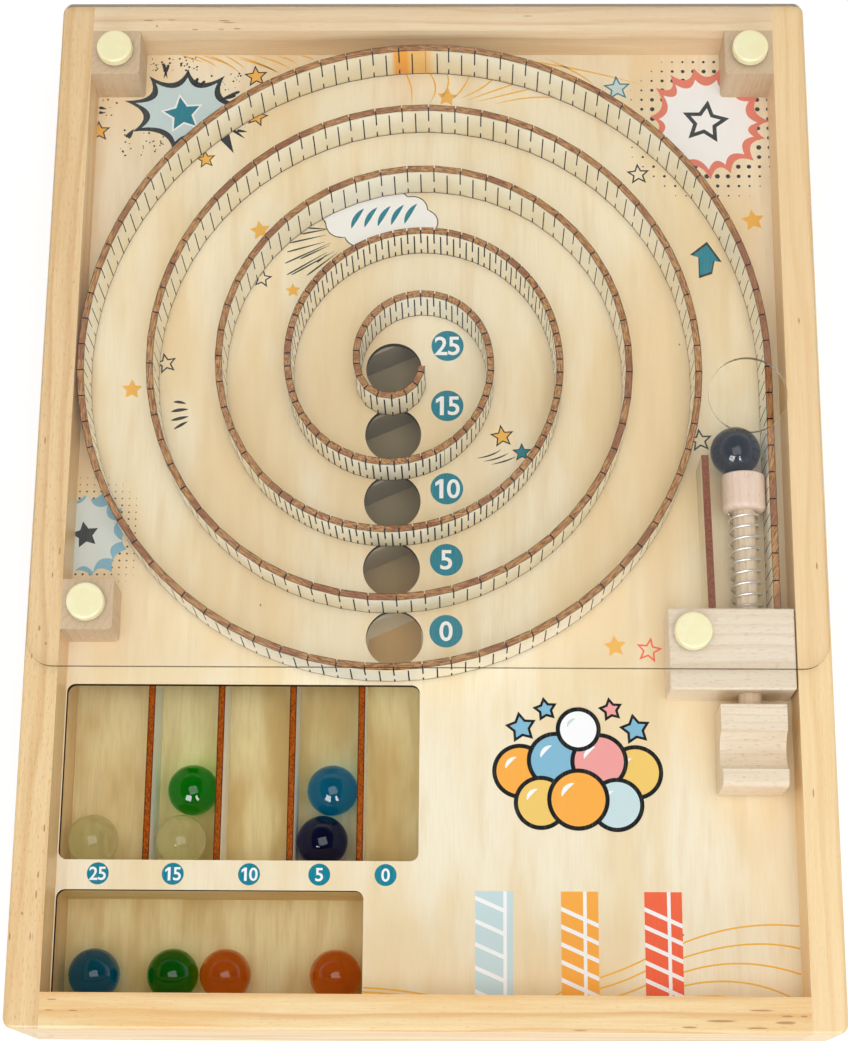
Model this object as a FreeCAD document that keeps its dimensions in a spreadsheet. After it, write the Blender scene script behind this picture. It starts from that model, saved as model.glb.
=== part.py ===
import FreeCAD, Part
import math
import os
import re
from FreeCAD import Placement, Rotation, Vector

# Tabletop bagatelle game: a shallow pine box, a printed playfield with a spiral wall, a spring
# plunger on the right and two marble trays at the front.
# Millimetres, +X right, +Y towards the back of the board, +Z up. The origin is the middle of the
# underside.

SIZES = [
    # box
    ("box_width", 280.0),
    ("box_depth", 380.0),
    ("box_height", 52.0),
    ("rail_thickness", 12.0),
    ("back_rail_thickness", 11.0),
    ("corner_radius", 3.5),
    ("rail_edge_round", 1.2),
    ("base_thickness", 3.0),
    ("base_rebate", 6.0),
    ("panel_thickness", 3.0),
    ("panel_tongue", 2.6),
    ("groove_depth", 3.0),
    # marbles, and the play they have above, in the holes, in the spiral and in the lanes
    ("marble_diameter", 18.0),
    ("marble_gap", 0.3),
    ("lane_headroom", 1.0),
    ("channel_headroom", 0.45),
    ("hole_play", 2.5),
    ("spiral_play", 4.42),
    ("lane_25_play", 11.0),
    ("lane_15_play", 4.4),
    ("lane_10_play", 5.0),
    ("lane_5_play", 3.9),
    ("guide_play", 2.65),
    ("launch_play", 1.2),
    ("load_hole_play", 10.2),
    # spiral wall
    ("wall_thickness", 2.5),
    ("wall_top_gap", 0.8),
    ("spiral_left_gap", 0.55),
    ("spiral_right_gap", 4.9),
    ("spiral_back_gap", 5.4),
    ("spiral_split", 18.5),
    ("spiral_eye_radius", 11.0),
    ("outer_facet", 10.0),
    ("inner_facet", 5.0),
    ("butt_gap", 0.2),
    ("first_butt_turn", 90.0),
    ("second_butt_turn", 225.0),
    ("third_butt_turn", 536.0),
    ("fourth_butt_turn", 947.0),
    ("fifth_butt_turn", 1382.0),
    # holes
    ("hole_column_offset", -4.9),
    ("top_hole_rise", 3.3),
    ("hole_drift", 0.58),
    ("last_hole_shift", 1.4),
    # trays
    ("tray_rail_gap", 0.35),
    ("tray_corner_radius", 3.0),
    ("storage_depth", 36.5),
    ("storage_length", 106.5),
    ("storage_wall_thickness", 3.0),
    ("tray_bar_width", 10.3),
    ("score_right_offset", 10.6),
    ("score_cover_gap", 1.8),
    # lower deck and the walls that stand on it
    ("deck_thickness", 2.5),
    ("deck_margin", 4.1),
    ("deck_overhang", 3.0),
    ("batten_width", 10.0),
    ("batten_inset", 4.0),
    ("divider_thickness", 2.4),
    ("channel_slope", 23.7),
    ("channel_wall_gap", 1.05),
    ("side_wall_setback", 0.3),
    # posts, cover and its fixings
    ("post_width", 18.0),
    ("post_corner_round", 1.5),
    ("front_post_inset", 22.5),
    ("cover_thickness", 2.0),
    ("cover_margin", 0.8),
    ("cover_front_setback", 0.55),
    ("cover_corner_radius", 9.5),
    ("load_hole_offset", 1.5),
    ("load_hole_distance", 78.2),
    ("screw_diameter", 3.0),
    ("screw_length", 14.0),
    ("screw_head_diameter", 6.4),
    ("screw_head_height", 1.9),
    ("screw_cover_gap", 0.2),
    ("screw_post_gap", 0.03),
    ("cap_diameter", 13.2),
    ("cap_height", 3.4),
    ("cap_wall", 0.9),
    ("cap_round", 0.9),
    # plunger
    ("rod_diameter", 8.0),
    ("rod_running_gap", 0.08),
    ("rod_glue_gap", 0.04),
    ("block_width", 43.7),
    ("block_depth", 28.9),
    ("block_rail_gap", 0.5),
    ("block_under_cover", 22.0),
    ("block_screw_inset", 8.2),
    ("block_screw_reach", 12.9),
    ("block_round", 0.8),
    ("handle_gap", 4.9),
    ("handle_width", 22.8),
    ("handle_length", 28.8),
    ("handle_floor_gap", 0.6),
    ("handle_bore_depth", 9.5),
    ("handle_lip", 6.1),
    ("handle_lip_round", 2.6),
    ("handle_round", 0.6),
    ("cove_radius", 6.6),
    ("cove_lift", 0.3),
    ("head_diameter", 15.6),
    ("head_wall_gap", 0.4),
    ("head_length", 13.4),
    ("head_bore_depth", 8.0),
    ("head_back_round", 0.7),
    ("head_front_round", 1.8),
    ("spring_length", 37.5),
    ("spring_end_gap", 0.1),
    ("spring_rod_gap", 0.8),
    ("spring_wire", 0.9),
    ("spring_turns", 9.5),
    ("guide_thickness", 2.6),
    ("guide_length", 56.0),
    ("guide_yaw", 1.1),
    ("guide_top_gap", 0.8),
    ("seat_gap", 0.2),
    # how far from the left rail the marbles in the storage tray lie
    ("marble_store_one", 12.0),
    ("marble_store_two", 39.5),
    ("marble_store_three", 57.9),
    ("marble_store_four", 96.3),
]

# Places worked out from the sizes. Each may use the sizes and the places above it.
PLACES = [
    # box and playfield
    ("inner_x", "box_width / 2 - rail_thickness"),
    ("front_y", "-box_depth / 2 + rail_thickness"),
    ("back_y", "box_depth / 2 - back_rail_thickness"),
    ("lane_depth", "marble_diameter + lane_headroom"),
    ("field_top", "box_height - lane_depth"),
    ("field_under", "field_top - panel_thickness"),
    ("marble_reach", "marble_diameter / 2 + marble_gap"),
    # spiral: half turns about two centres, a quarter of the pitch to either side of the middle
    ("spiral_pitch", "marble_diameter + wall_thickness + spiral_play"),
    ("spiral_shift_x", "spiral_pitch / 4 * cos(spiral_split)"),
    ("spiral_shift_y", "spiral_pitch / 4 * sin(spiral_split)"),
    ("straight_x", "inner_x - spiral_right_gap - wall_thickness / 2"),
    ("spiral_left_x", "-inner_x + spiral_left_gap + wall_thickness / 2"),
    ("spiral_radius", "(straight_x - spiral_left_x) / 2 + spiral_shift_x - spiral_pitch / 4"),
    ("spiral_x", "spiral_left_x + spiral_radius - spiral_shift_x"),
    ("spiral_y", "back_y - spiral_back_gap - wall_thickness / 2 - spiral_radius - spiral_shift_y"),
    ("spiral_low_y", "spiral_y - spiral_shift_y - spiral_radius + spiral_pitch / 2"
                     " - wall_thickness / 2"),
    ("wall_top", "box_height - wall_top_gap"),
    ("hole_diameter", "marble_diameter + hole_play"),
    ("hole_pitch", "spiral_pitch + hole_drift"),
    ("hole_column_x", "spiral_x + hole_column_offset"),
    ("top_hole_y", "spiral_y + top_hole_rise"),
    # cover and trays
    ("cover_top", "box_height + cover_thickness"),
    ("cover_front_y", "spiral_low_y + cover_front_setback"),
    ("tray_left_x", "-inner_x + tray_rail_gap"),
    ("score_right_x", "hole_column_x + score_right_offset"),
    ("score_back_y", "cover_front_y - score_cover_gap"),
    ("storage_back_y", "front_y + storage_depth"),
    ("score_front_y", "storage_back_y + tray_bar_width"),
    ("storage_right_x", "-inner_x + storage_length"),
    ("storage_wall_x", "storage_right_x + side_wall_setback"),
    ("side_wall_x", "score_right_x + side_wall_setback"),
    ("divider_one_x", "-inner_x + marble_diameter + lane_25_play + divider_thickness / 2"),
    ("divider_two_x", "divider_one_x + divider_thickness + marble_diameter + lane_15_play"),
    ("divider_three_x", "divider_two_x + divider_thickness + marble_diameter + lane_10_play"),
    ("divider_four_x", "divider_three_x + divider_thickness + marble_diameter + lane_5_play"),
    # lower deck
    ("channel_wall_offset", "hole_diameter / 2 + channel_wall_gap"),
    ("channel_tan", "sin(channel_slope) / cos(channel_slope)"),
    ("deck_y", "front_y + seat_gap"),
    ("deck_back_y", "top_hole_y + channel_wall_offset + (side_wall_x - hole_column_x) * channel_tan"
                    " + deck_margin"),
    ("deck_top_front", "base_thickness + deck_thickness"),
    ("deck_rise", "field_under - marble_diameter - channel_headroom - deck_top_front"),
    ("deck_tan", "deck_rise / (deck_back_y - deck_y)"),
    ("deck_cos", "1 / sqrt(1 + deck_tan^2)"),
    # posts and plunger
    ("post_x", "inner_x - post_width / 2"),
    ("back_post_y", "back_y - post_width / 2"),
    ("front_post_y", "cover_front_y + front_post_inset"),
    ("plunger_x", "straight_x - wall_thickness / 2 - head_wall_gap - head_diameter / 2"),
    ("rod_z", "field_top + lane_depth / 2"),
    ("block_right_x", "inner_x - block_rail_gap"),
    ("block_left_x", "block_right_x - block_width"),
    ("block_back_y", "cover_front_y + block_under_cover"),
    ("block_front_y", "block_back_y - block_depth"),
    ("block_screw_x", "block_left_x + block_screw_inset"),
    ("block_screw_y", "cover_front_y + block_screw_reach"),
    ("handle_back_y", "block_front_y - handle_gap"),
    ("handle_front_y", "handle_back_y - handle_length"),
    ("handle_floor", "field_top + handle_floor_gap"),
    ("head_front_y", "block_back_y + spring_length + spring_end_gap * 2"),
    ("head_back_y", "head_front_y + head_length"),
    ("guide_x", "straight_x - wall_thickness / 2 - marble_diameter - guide_play"
                " - guide_thickness / 2"),
    ("load_hole_x", "plunger_x + load_hole_offset"),
    ("load_hole_y", "block_back_y + load_hole_distance"),
    ("marble_launch_x", "straight_x - wall_thickness / 2 - launch_play - marble_reach"),
]

doc = FreeCAD.newDocument("bagatelle")
sheet = doc.addObject("Spreadsheet::Sheet", "sizes")
for row, (name, value) in enumerate(SIZES, start=1):
    sheet.set(f"A{row}", name)
    sheet.set(f"B{row}", str(value))
    sheet.setAlias(f"B{row}", name)
doc.recompute()

HOME = {name: "sizes" for name, value in SIZES}
HOME.update({name: "places" for name, text in PLACES})
WORD = re.compile(r"\b(" + "|".join(sorted(HOME, key=len, reverse=True)) + r")\b")


def formula(text):
    """The expression for a formula in plain names: each name gains the object that holds it."""
    text = re.sub(r"(sin|cos)\((\w+)\)", r"\1(\2 * 1 deg)", str(text))
    return WORD.sub(lambda found: HOME[found.group(1)] + "." + found.group(1), text)


places = doc.addObject("App::FeaturePython", "places")
for name, text in PLACES:
    places.addProperty("App::PropertyFloat", name)
for name, text in PLACES:
    places.setExpression(name, formula(text))
doc.recompute()


def size(name):
    """The number of a size or a place."""
    return float(places.getPropertyByName(name) if HOME[name] == "places" else sheet.get(name))


sub_parts = []


def keep(piece, label):
    """Gives a finished sub-part its name and puts it on the list of files to write."""
    piece.Label = label
    sub_parts.append(piece)
    return piece


def bind(piece, **formulas):
    for prop, text in formulas.items():
        piece.setExpression(prop, formula(text))
    return piece


def place(piece, x, y, z):
    piece.setExpression("Placement.Base.x", formula(x))
    piece.setExpression("Placement.Base.y", formula(y))
    piece.setExpression("Placement.Base.z", formula(z))
    return piece


def box(name, low, high):
    piece = doc.addObject("Part::Box", name)
    bind(piece, Length=f"({high[0]}) - ({low[0]})", Width=f"({high[1]}) - ({low[1]})",
         Height=f"({high[2]}) - ({low[2]})")
    return place(piece, *low)


def cut(name, base, tool):
    piece = doc.addObject("Part::Cut", name)
    piece.Base = base
    piece.Tool = tool
    return piece


def join(name, shapes):
    piece = doc.addObject("Part::MultiFuse", name)
    piece.Shapes = shapes
    return piece


def new_body(label):
    return keep(doc.addObject("PartDesign::Body", label), label)


def body_box(body, kind, low, high):
    """A PartDesign box between two corners; kind is Additive or Subtractive."""
    piece = body.newObject(f"PartDesign::{kind}Box", kind + "Box")
    bind(piece, Length=f"({high[0]}) - ({low[0]})", Width=f"({high[1]}) - ({low[1]})",
         Height=f"({high[2]}) - ({low[2]})")
    return place(piece, *low)


UP = Rotation()
ALONG_X = Rotation(Vector(0, 1, 0), 90)
ALONG_Y = Rotation(Vector(1, 0, 0), -90)


def body_cylinder(body, kind, start, radius, length, direction=UP):
    """A PartDesign cylinder that starts at a point and runs up, along +X or along +Y."""
    piece = body.newObject(f"PartDesign::{kind}Cylinder", kind + "Cylinder")
    piece.Placement = Placement(Vector(), direction)
    bind(piece, Radius=radius, Height=length)
    return place(piece, *start)


def body_fillet(body, radius, wanted):
    """Rounds the edges of the body's last feature whose middle and extents wanted() accepts."""
    doc.recompute()
    base = body.Tip
    names = []
    for number, edge in enumerate(base.Shape.Edges, start=1):
        if wanted(edge.BoundBox.Center, edge.BoundBox):
            names.append(f"Edge{number}")
    piece = body.newObject("PartDesign::Fillet", "Round")
    piece.Base = (base, names)
    return bind(piece, Radius=radius)


def same(a, b):
    return abs(a - b) < 0.01


def upright(extents):
    return extents.ZLength > 0.5 and extents.XLength + extents.YLength < 0.01


def lies_along_x(extents):
    return extents.XLength > 0.5 and extents.YLength + extents.ZLength < 0.01


def lies_along_y(extents):
    return extents.YLength > 0.5 and extents.XLength + extents.ZLength < 0.01


# ---------------------------------------------------------------- box
def rail(label, low, high):
    """A pine rail with its share of the playfield's groove and of the base panel's rebate."""
    body = new_body(label)
    body_box(body, "Additive", low, high)
    body_box(body, "Subtractive",
             ("-inner_x - groove_depth", "front_y - groove_depth", "field_under"),
             ("inner_x + groove_depth", "back_y + groove_depth", "field_top"))
    body_box(body, "Subtractive",
             ("-inner_x - base_rebate", "front_y - base_rebate", "0"),
             ("inner_x + base_rebate", "back_y + base_rebate", "base_thickness"))
    return body


def side_rail(label, low, high, outer_x):
    body = rail(label, low, high)
    body_fillet(body, "corner_radius", lambda at, ext: upright(ext) and same(at.x, outer_x))
    body_fillet(body, "rail_edge_round",
                lambda at, ext: same(at.z, size("box_height")) and lies_along_y(ext)
                and same(at.x, outer_x))


def cross_rail(label, low, high, outer_y):
    body = rail(label, low, high)
    body_fillet(body, "rail_edge_round",
                lambda at, ext: same(at.z, size("box_height")) and lies_along_x(ext)
                and same(at.y, outer_y))


side_rail("left_rail", ("-box_width / 2", "-box_depth / 2", "0"),
          ("-inner_x", "box_depth / 2", "box_height"), -size("box_width") / 2)
side_rail("right_rail", ("inner_x", "-box_depth / 2", "0"),
          ("box_width / 2", "box_depth / 2", "box_height"), size("box_width") / 2)
cross_rail("front_rail", ("-inner_x", "-box_depth / 2", "0"),
           ("inner_x", "front_y", "box_height"), -size("box_depth") / 2)
cross_rail("back_rail", ("-inner_x", "back_y", "0"),
           ("inner_x", "box_depth / 2", "box_height"), size("box_depth") / 2)

keep(box("base_panel", ("-inner_x - base_rebate", "front_y - base_rebate", "0"),
         ("inner_x + base_rebate", "back_y + base_rebate", "base_thickness")), "base_panel")

# ---------------------------------------------------------------- playfield
HOLES = [("hole_column_x", f"top_hole_y - hole_pitch * {step}") for step in range(4)]
HOLES.append(("hole_column_x + last_hole_shift", "top_hole_y - hole_pitch * 4"))

playfield = new_body("playfield_panel")
body_box(playfield, "Additive",
         ("-inner_x - panel_tongue", "front_y - panel_tongue", "field_under"),
         ("inner_x + panel_tongue", "back_y + panel_tongue", "field_top"))
body_box(playfield, "Subtractive", ("tray_left_x", "score_front_y", "field_under - 1"),
         ("score_right_x", "score_back_y", "field_top + 1"))
body_box(playfield, "Subtractive", ("tray_left_x", "front_y", "field_under - 1"),
         ("storage_right_x", "storage_back_y", "field_top + 1"))
for hole_x, hole_y in HOLES:
    body_cylinder(playfield, "Subtractive", (hole_x, hole_y, "field_under - 1"),
                  "hole_diameter / 2", "panel_thickness + 2")


def is_tray_corner(at, extents):
    ends = [size("score_back_y"), size("score_front_y"), size("storage_back_y")]
    sides = [size("tray_left_x"), size("score_right_x"), size("storage_right_x")]
    return (upright(extents) and any(same(at.y, end) for end in ends)
            and any(same(at.x, side) for side in sides))


body_fillet(playfield, "tray_corner_radius", is_tray_corner)


# ---------------------------------------------------------------- lower deck
def sloping_slab(name, low_x, high_x, thickness):
    """A slab that rises towards the back, with its top face in the plane of the deck's top."""
    piece = doc.addObject("Part::Wedge", name)
    bind(piece, Xmin=low_x, Xmax=high_x, X2min=low_x, X2max=high_x,
         Ymin="deck_y", Ymax="deck_back_y",
         Zmin=f"deck_top_front - ({thickness})", Zmax="deck_top_front",
         Z2min=f"deck_top_front + deck_rise - ({thickness})", Z2max="deck_top_front + deck_rise")
    return piece


def deck_top(y):
    """Height of the deck's top face at a place y."""
    return f"(deck_top_front + (({y}) - deck_y) * deck_tan)"


keep(sloping_slab("tray_deck", "-inner_x", "side_wall_x + divider_thickness + deck_overhang",
                  "deck_thickness"), "tray_deck")
BATTEN_FRONT_Y = "(deck_back_y - batten_inset - batten_width)"
keep(box("deck_batten", ("-inner_x", BATTEN_FRONT_Y, "base_thickness"),
         ("side_wall_x", f"{BATTEN_FRONT_Y} + batten_width",
          f"base_thickness + ({BATTEN_FRONT_Y} - deck_y) * deck_tan")), "deck_batten")

below_deck = sloping_slab("below_deck", "-box_width", "box_width", "box_height")
right_of_channels = box("right_of_channels", ("side_wall_x", "-box_depth", "0"),
                        ("box_width", "box_depth", "box_height"))
left_of_channels = box("left_of_channels", ("-box_width", "-box_depth", "0"),
                       ("-inner_x", "box_depth", "box_height"))
channel_trim = join("channel_trim", [below_deck, right_of_channels, left_of_channels])


def channel_wall(label, corner_x, hole, straight_from=None):
    """A wall that runs under the playfield above a hole, down to corner_x, where it may bend
    into a straight lane divider that ends at straight_from."""
    hole_x, hole_y = HOLES[hole]
    corner_y = (f"({hole_y}) + channel_wall_offset"
                f" + (({corner_x}) - ({hole_x})) * channel_tan")
    slant = doc.addObject("Part::Box", label + "_slant")
    bind(slant, Length=f"(box_width / 2 - ({corner_x})) / cos(channel_slope)",
         Width="divider_thickness", Height="field_under")
    slant.Placement = Placement(Vector(), Rotation(Vector(0, 0, 1), size("channel_slope")))
    bind(slant, **{"Placement.Rotation.Angle": "channel_slope * 1 deg"})
    place(slant, f"({corner_x}) + divider_thickness / 2 * sin(channel_slope)",
          f"({corner_y}) - divider_thickness / 2 * cos(channel_slope)", "0")
    solids = [slant]
    if straight_from is not None:
        solids.append(box(label + "_straight",
                          (f"({corner_x}) - divider_thickness / 2", straight_from, "0"),
                          (f"({corner_x}) + divider_thickness / 2", corner_y, "field_under")))
        elbow = doc.addObject("Part::Cylinder", label + "_elbow")
        bind(elbow, Radius="divider_thickness / 2", Height="field_under")
        solids.append(place(elbow, corner_x, corner_y, "0"))
        blank = join(label + "_blank", solids)
    else:
        blank = slant
    return keep(cut(label, blank, channel_trim), label)


channel_wall("channel_back_wall", "-inner_x - panel_thickness", 0)
DIVIDERS = ["divider_one_x", "divider_two_x", "divider_three_x", "divider_four_x"]
for number, divider_x in enumerate(DIVIDERS, start=1):
    channel_wall(f"lane_divider_{number}", divider_x, number, straight_from="score_front_y")


def deck_wall(label, low, high):
    """A straight wall between the sloping deck and the playfield; the corners give x and y."""
    blank = box(label + "_blank", (*low, "base_thickness"), (*high, "field_under"))
    return keep(cut(label, blank, below_deck), label)


deck_wall("channel_side_wall", ("side_wall_x", "score_front_y"),
          ("side_wall_x + divider_thickness", "deck_back_y - deck_overhang"))
deck_wall("tray_bar", ("-inner_x", "storage_back_y"),
          ("side_wall_x + divider_thickness", "score_front_y"))
deck_wall("storage_end_wall", ("storage_wall_x", "deck_y"),
          ("storage_wall_x + storage_wall_thickness", "storage_back_y"))


# ---------------------------------------------------------------- spiral wall
def spiral_arc(turn):
    """Centre and radius of the half turn that holds an angle in degrees, counted inwards. The
    half turns meet on a line through the centre, each half a pitch smaller than the last."""
    half_turn = math.floor((turn - size("spiral_split")) / 180.0)
    side = 1 if half_turn % 2 == 0 else -1
    split = math.radians(size("spiral_split"))
    shift = side * size("spiral_pitch") / 4
    centre = Vector(size("spiral_x") + shift * math.cos(split),
                    size("spiral_y") + shift * math.sin(split), 0)
    return centre, size("spiral_radius") - half_turn * size("spiral_pitch") / 2


def spiral_point(turn, offset):
    """A point beside the wall's middle line, offset away from the spiral's centre."""
    centre, radius = spiral_arc(turn)
    angle = math.radians(turn)
    return centre + Vector(math.cos(angle), math.sin(angle), 0) * (radius + offset)


def fold_turns(start_turn, end_turn, facet):
    """The angles at which a strip is folded: every facet's length along the wall."""
    turns = [start_turn]
    while True:
        centre, radius = spiral_arc(turns[-1])
        following = turns[-1] + math.degrees(facet / radius)
        if following > end_turn - math.degrees(facet / radius) / 4:
            return turns + [end_turn]
        turns.append(following)


def spiral_strip(label, start_turn, end_turn, facet, straight_from=None):
    """A plywood strip on edge, bent at its kerfs into short flat facets."""
    gap = size("butt_gap")
    first = start_turn + math.degrees(gap / 2 / spiral_arc(start_turn)[1])
    last = end_turn - math.degrees(gap / 2 / spiral_arc(end_turn)[1])
    if straight_from is not None:
        first = start_turn
    turns = fold_turns(first, last, facet)
    half = size("wall_thickness") / 2
    outer = [spiral_point(turn, half) for turn in turns]
    inner = [spiral_point(turn, -half) for turn in turns]
    if straight_from is not None:
        outer.insert(0, Vector(outer[0].x, straight_from, 0))
        inner.insert(0, Vector(inner[0].x, straight_from, 0))
    outline = outer + inner[::-1]
    base = size("field_top")
    lifted = [Vector(point.x, point.y, base) for point in outline + outline[:1]]
    face = Part.Face(Part.makePolygon(lifted))
    piece = doc.addObject("Part::Feature", label)
    piece.Shape = face.extrude(Vector(0, 0, size("wall_top") - base))
    return keep(piece, label)


BUTTS = [0.0] + [size(name) for name in ("first_butt_turn", "second_butt_turn", "third_butt_turn",
                                         "fourth_butt_turn", "fifth_butt_turn")]
LAST_HALF_TURN = math.floor((size("spiral_radius") - size("spiral_eye_radius"))
                            / (size("spiral_pitch") / 2))
BUTTS.append(180.0 * (LAST_HALF_TURN + 1))
spiral_strip("spiral_strip_1", BUTTS[0], BUTTS[1], size("outer_facet"),
             straight_from=size("block_back_y") + size("seat_gap"))
for number in (2, 3, 4, 5, 6):
    facet = size("outer_facet") if number < 5 else size("inner_facet")
    spiral_strip(f"spiral_strip_{number}", BUTTS[number - 1], BUTTS[number], facet)

# ---------------------------------------------------------------- posts, cover and fixings
POSTS = [
    ("post_back_left", "-post_x", "back_post_y"),
    ("post_back_right", "post_x", "back_post_y"),
    ("post_front_left", "-post_x", "front_post_y"),
]
SCREWS = [(x, y) for label, x, y in POSTS] + [("block_screw_x", "block_screw_y")]


def pilot_hole(body, x, y):
    body_cylinder(body, "Subtractive", (x, y, "box_height - screw_length"),
                  "screw_diameter / 2 + screw_post_gap", "screw_length + 1")


for label, x, y in POSTS:
    post = new_body(label)
    body_box(post, "Additive",
             (f"{x} - post_width / 2", f"{y} - post_width / 2", "field_top"),
             (f"{x} + post_width / 2", f"{y} + post_width / 2", "box_height"))
    pilot_hole(post, x, y)
    free_x = size("post_x") - size("post_width") / 2
    free_y = size("front_post_y" if y == "front_post_y" else "back_post_y") - size("post_width") / 2
    body_fillet(post, "post_corner_round",
                lambda at, ext: upright(ext) and same(abs(at.x), free_x) and same(at.y, free_y))

cover = new_body("clear_cover")
body_box(cover, "Additive",
         ("-box_width / 2 + cover_margin", "cover_front_y", "box_height"),
         ("box_width / 2 - cover_margin", "box_depth / 2 - cover_margin", "cover_top"))
body_cylinder(cover, "Subtractive", ("load_hole_x", "load_hole_y", "box_height - 1"),
              "(marble_diameter + load_hole_play) / 2", "cover_thickness + 2")
for x, y in SCREWS:
    body_cylinder(cover, "Subtractive", (x, y, "box_height - 1"),
                  "screw_diameter / 2 + screw_cover_gap", "cover_thickness + 2")
body_fillet(cover, "cover_corner_radius",
            lambda at, ext: upright(ext) and same(at.y, size("cover_front_y")))
body_fillet(cover, "corner_radius",
            lambda at, ext: upright(ext) and at.y > size("box_depth") / 2 - 1)

screw_solids = []
for number, (x, y) in enumerate(SCREWS, start=1):
    shank = doc.addObject("Part::Cylinder", f"shank_{number}")
    bind(shank, Radius="screw_diameter / 2", Height="screw_length + cover_thickness")
    place(shank, x, y, "box_height - screw_length")
    head = doc.addObject("Part::Cylinder", f"screw_head_{number}")
    bind(head, Radius="screw_head_diameter / 2", Height="screw_head_height")
    place(head, x, y, "cover_top")
    screw_solids.append(join(f"screw_{number}", [shank, head]))
screws = doc.addObject("Part::Compound", "cover_screws")
screws.Links = screw_solids
keep(screws, "cover_screws")

for number, (x, y) in enumerate(SCREWS, start=1):
    cap = new_body(f"screw_cap_{number}")
    body_cylinder(cap, "Additive", (x, y, "cover_top"), "cap_diameter / 2", "cap_height")
    body_cylinder(cap, "Subtractive", (x, y, "cover_top - 1"), "cap_diameter / 2 - cap_wall",
                  "cap_height - cap_wall + 1")
    cap_top = size("cover_top") + size("cap_height")
    body_fillet(cap, "cap_round", lambda at, ext: same(at.z, cap_top) and ext.ZLength < 0.01)

# ---------------------------------------------------------------- plunger
block = new_body("plunger_block")
body_box(block, "Additive", ("block_left_x", "block_front_y", "field_top"),
         ("block_right_x", "block_back_y", "box_height"))
body_cylinder(block, "Subtractive", ("plunger_x", "block_front_y - 1", "rod_z"),
              "rod_diameter / 2 + rod_running_gap", "block_depth + 2", ALONG_Y)
pilot_hole(block, "block_screw_x", "block_screw_y")


def on_block_rim(at, extents):
    top_rim = same(at.z, size("box_height")) and (lies_along_x(extents) or lies_along_y(extents))
    return top_rim or (upright(extents) and same(at.y, size("block_front_y")))


body_fillet(block, "block_round", on_block_rim)

handle = new_body("plunger_handle")
body_box(handle, "Additive",
         ("plunger_x - handle_width / 2", "handle_front_y", "handle_floor"),
         ("plunger_x + handle_width / 2", "handle_back_y", "box_height"))
body_cylinder(handle, "Subtractive",
              ("plunger_x - handle_width", "handle_front_y + handle_lip + cove_radius",
               "box_height + cove_lift"),
              "cove_radius", "handle_width * 2", ALONG_X)
body_cylinder(handle, "Subtractive", ("plunger_x", "handle_back_y - handle_bore_depth", "rod_z"),
              "rod_diameter / 2 + rod_glue_gap", "handle_bore_depth + 1", ALONG_Y)
body_fillet(handle, "handle_lip_round",
            lambda at, ext: lies_along_x(ext) and same(at.z, size("box_height"))
            and same(at.y, size("handle_front_y")))
body_fillet(handle, "handle_round",
            lambda at, ext: upright(ext)
            or (lies_along_x(ext) and same(at.y, size("handle_back_y"))))

rod = doc.addObject("Part::Cylinder", "plunger_rod")
rod.Placement = Placement(Vector(), ALONG_Y)
ROD_START = "(handle_back_y - handle_bore_depth + seat_gap)"
bind(rod, Radius="rod_diameter / 2",
     Height=f"head_front_y + head_bore_depth - seat_gap - {ROD_START}")
keep(place(rod, "plunger_x", ROD_START, "rod_z"), "plunger_rod")

head = new_body("plunger_head")
body_cylinder(head, "Additive", ("plunger_x", "head_front_y", "rod_z"), "head_diameter / 2",
              "head_length", ALONG_Y)
body_cylinder(head, "Subtractive", ("plunger_x", "head_front_y - 1", "rod_z"),
              "rod_diameter / 2 + rod_glue_gap", "head_bore_depth + 1", ALONG_Y)


def is_head_rim(at, extents, y):
    return same(at.y, y) and extents.YLength < 0.01 and extents.XLength > size("rod_diameter") + 2


body_fillet(head, "head_back_round",
            lambda at, ext: is_head_rim(at, ext, size("head_back_y")))
body_fillet(head, "head_front_round",
            lambda at, ext: is_head_rim(at, ext, size("head_front_y")))

wire_radius = size("spring_wire") / 2
coil_radius = size("rod_diameter") / 2 + size("spring_rod_gap") + wire_radius
coil_height = size("spring_length") - size("spring_wire")
helix = Part.makeHelix(coil_height / size("spring_turns"), coil_height, coil_radius)
wire_end = Part.makeCircle(wire_radius, Vector(coil_radius, 0, 0), Vector(0, 1, 0))
coil = Part.Wire(helix.Edges).makePipeShell([Part.Wire(wire_end)], True, True)
coil_start = size("block_back_y") + size("spring_end_gap") + wire_radius
coil.transformShape(Placement(Vector(size("plunger_x"), coil_start, size("rod_z")),
                              ALONG_Y).toMatrix())
spring = doc.addObject("Part::Feature", "plunger_spring")
spring.Shape = coil
keep(spring, "plunger_spring")

guide = doc.addObject("Part::Box", "plunger_guide")
bind(guide, Length="guide_thickness", Width="guide_length",
     Height="lane_depth - guide_top_gap")
guide.Placement = Placement(Vector(), Rotation(Vector(0, 0, 1), size("guide_yaw")))
bind(guide, **{"Placement.Rotation.Angle": "guide_yaw * 1 deg"})
place(guide, "guide_x - guide_thickness / 2 + guide_length / 2 * sin(guide_yaw)",
      "block_back_y + seat_gap", "field_top")
keep(guide, "plunger_guide")


# ---------------------------------------------------------------- marbles
def marble(label, x, y, z):
    piece = doc.addObject("Part::Sphere", label)
    bind(piece, Radius="marble_diameter / 2")
    return keep(place(piece, x, y, z), label)


def tray_marble(label, x, y):
    marble(label, x, y, f"{deck_top(y)} + marble_reach / deck_cos")


FRONT_ROW_Y = "(score_front_y + marble_reach)"
STORE_ROW_Y = "(front_y + marble_reach)"


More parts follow.
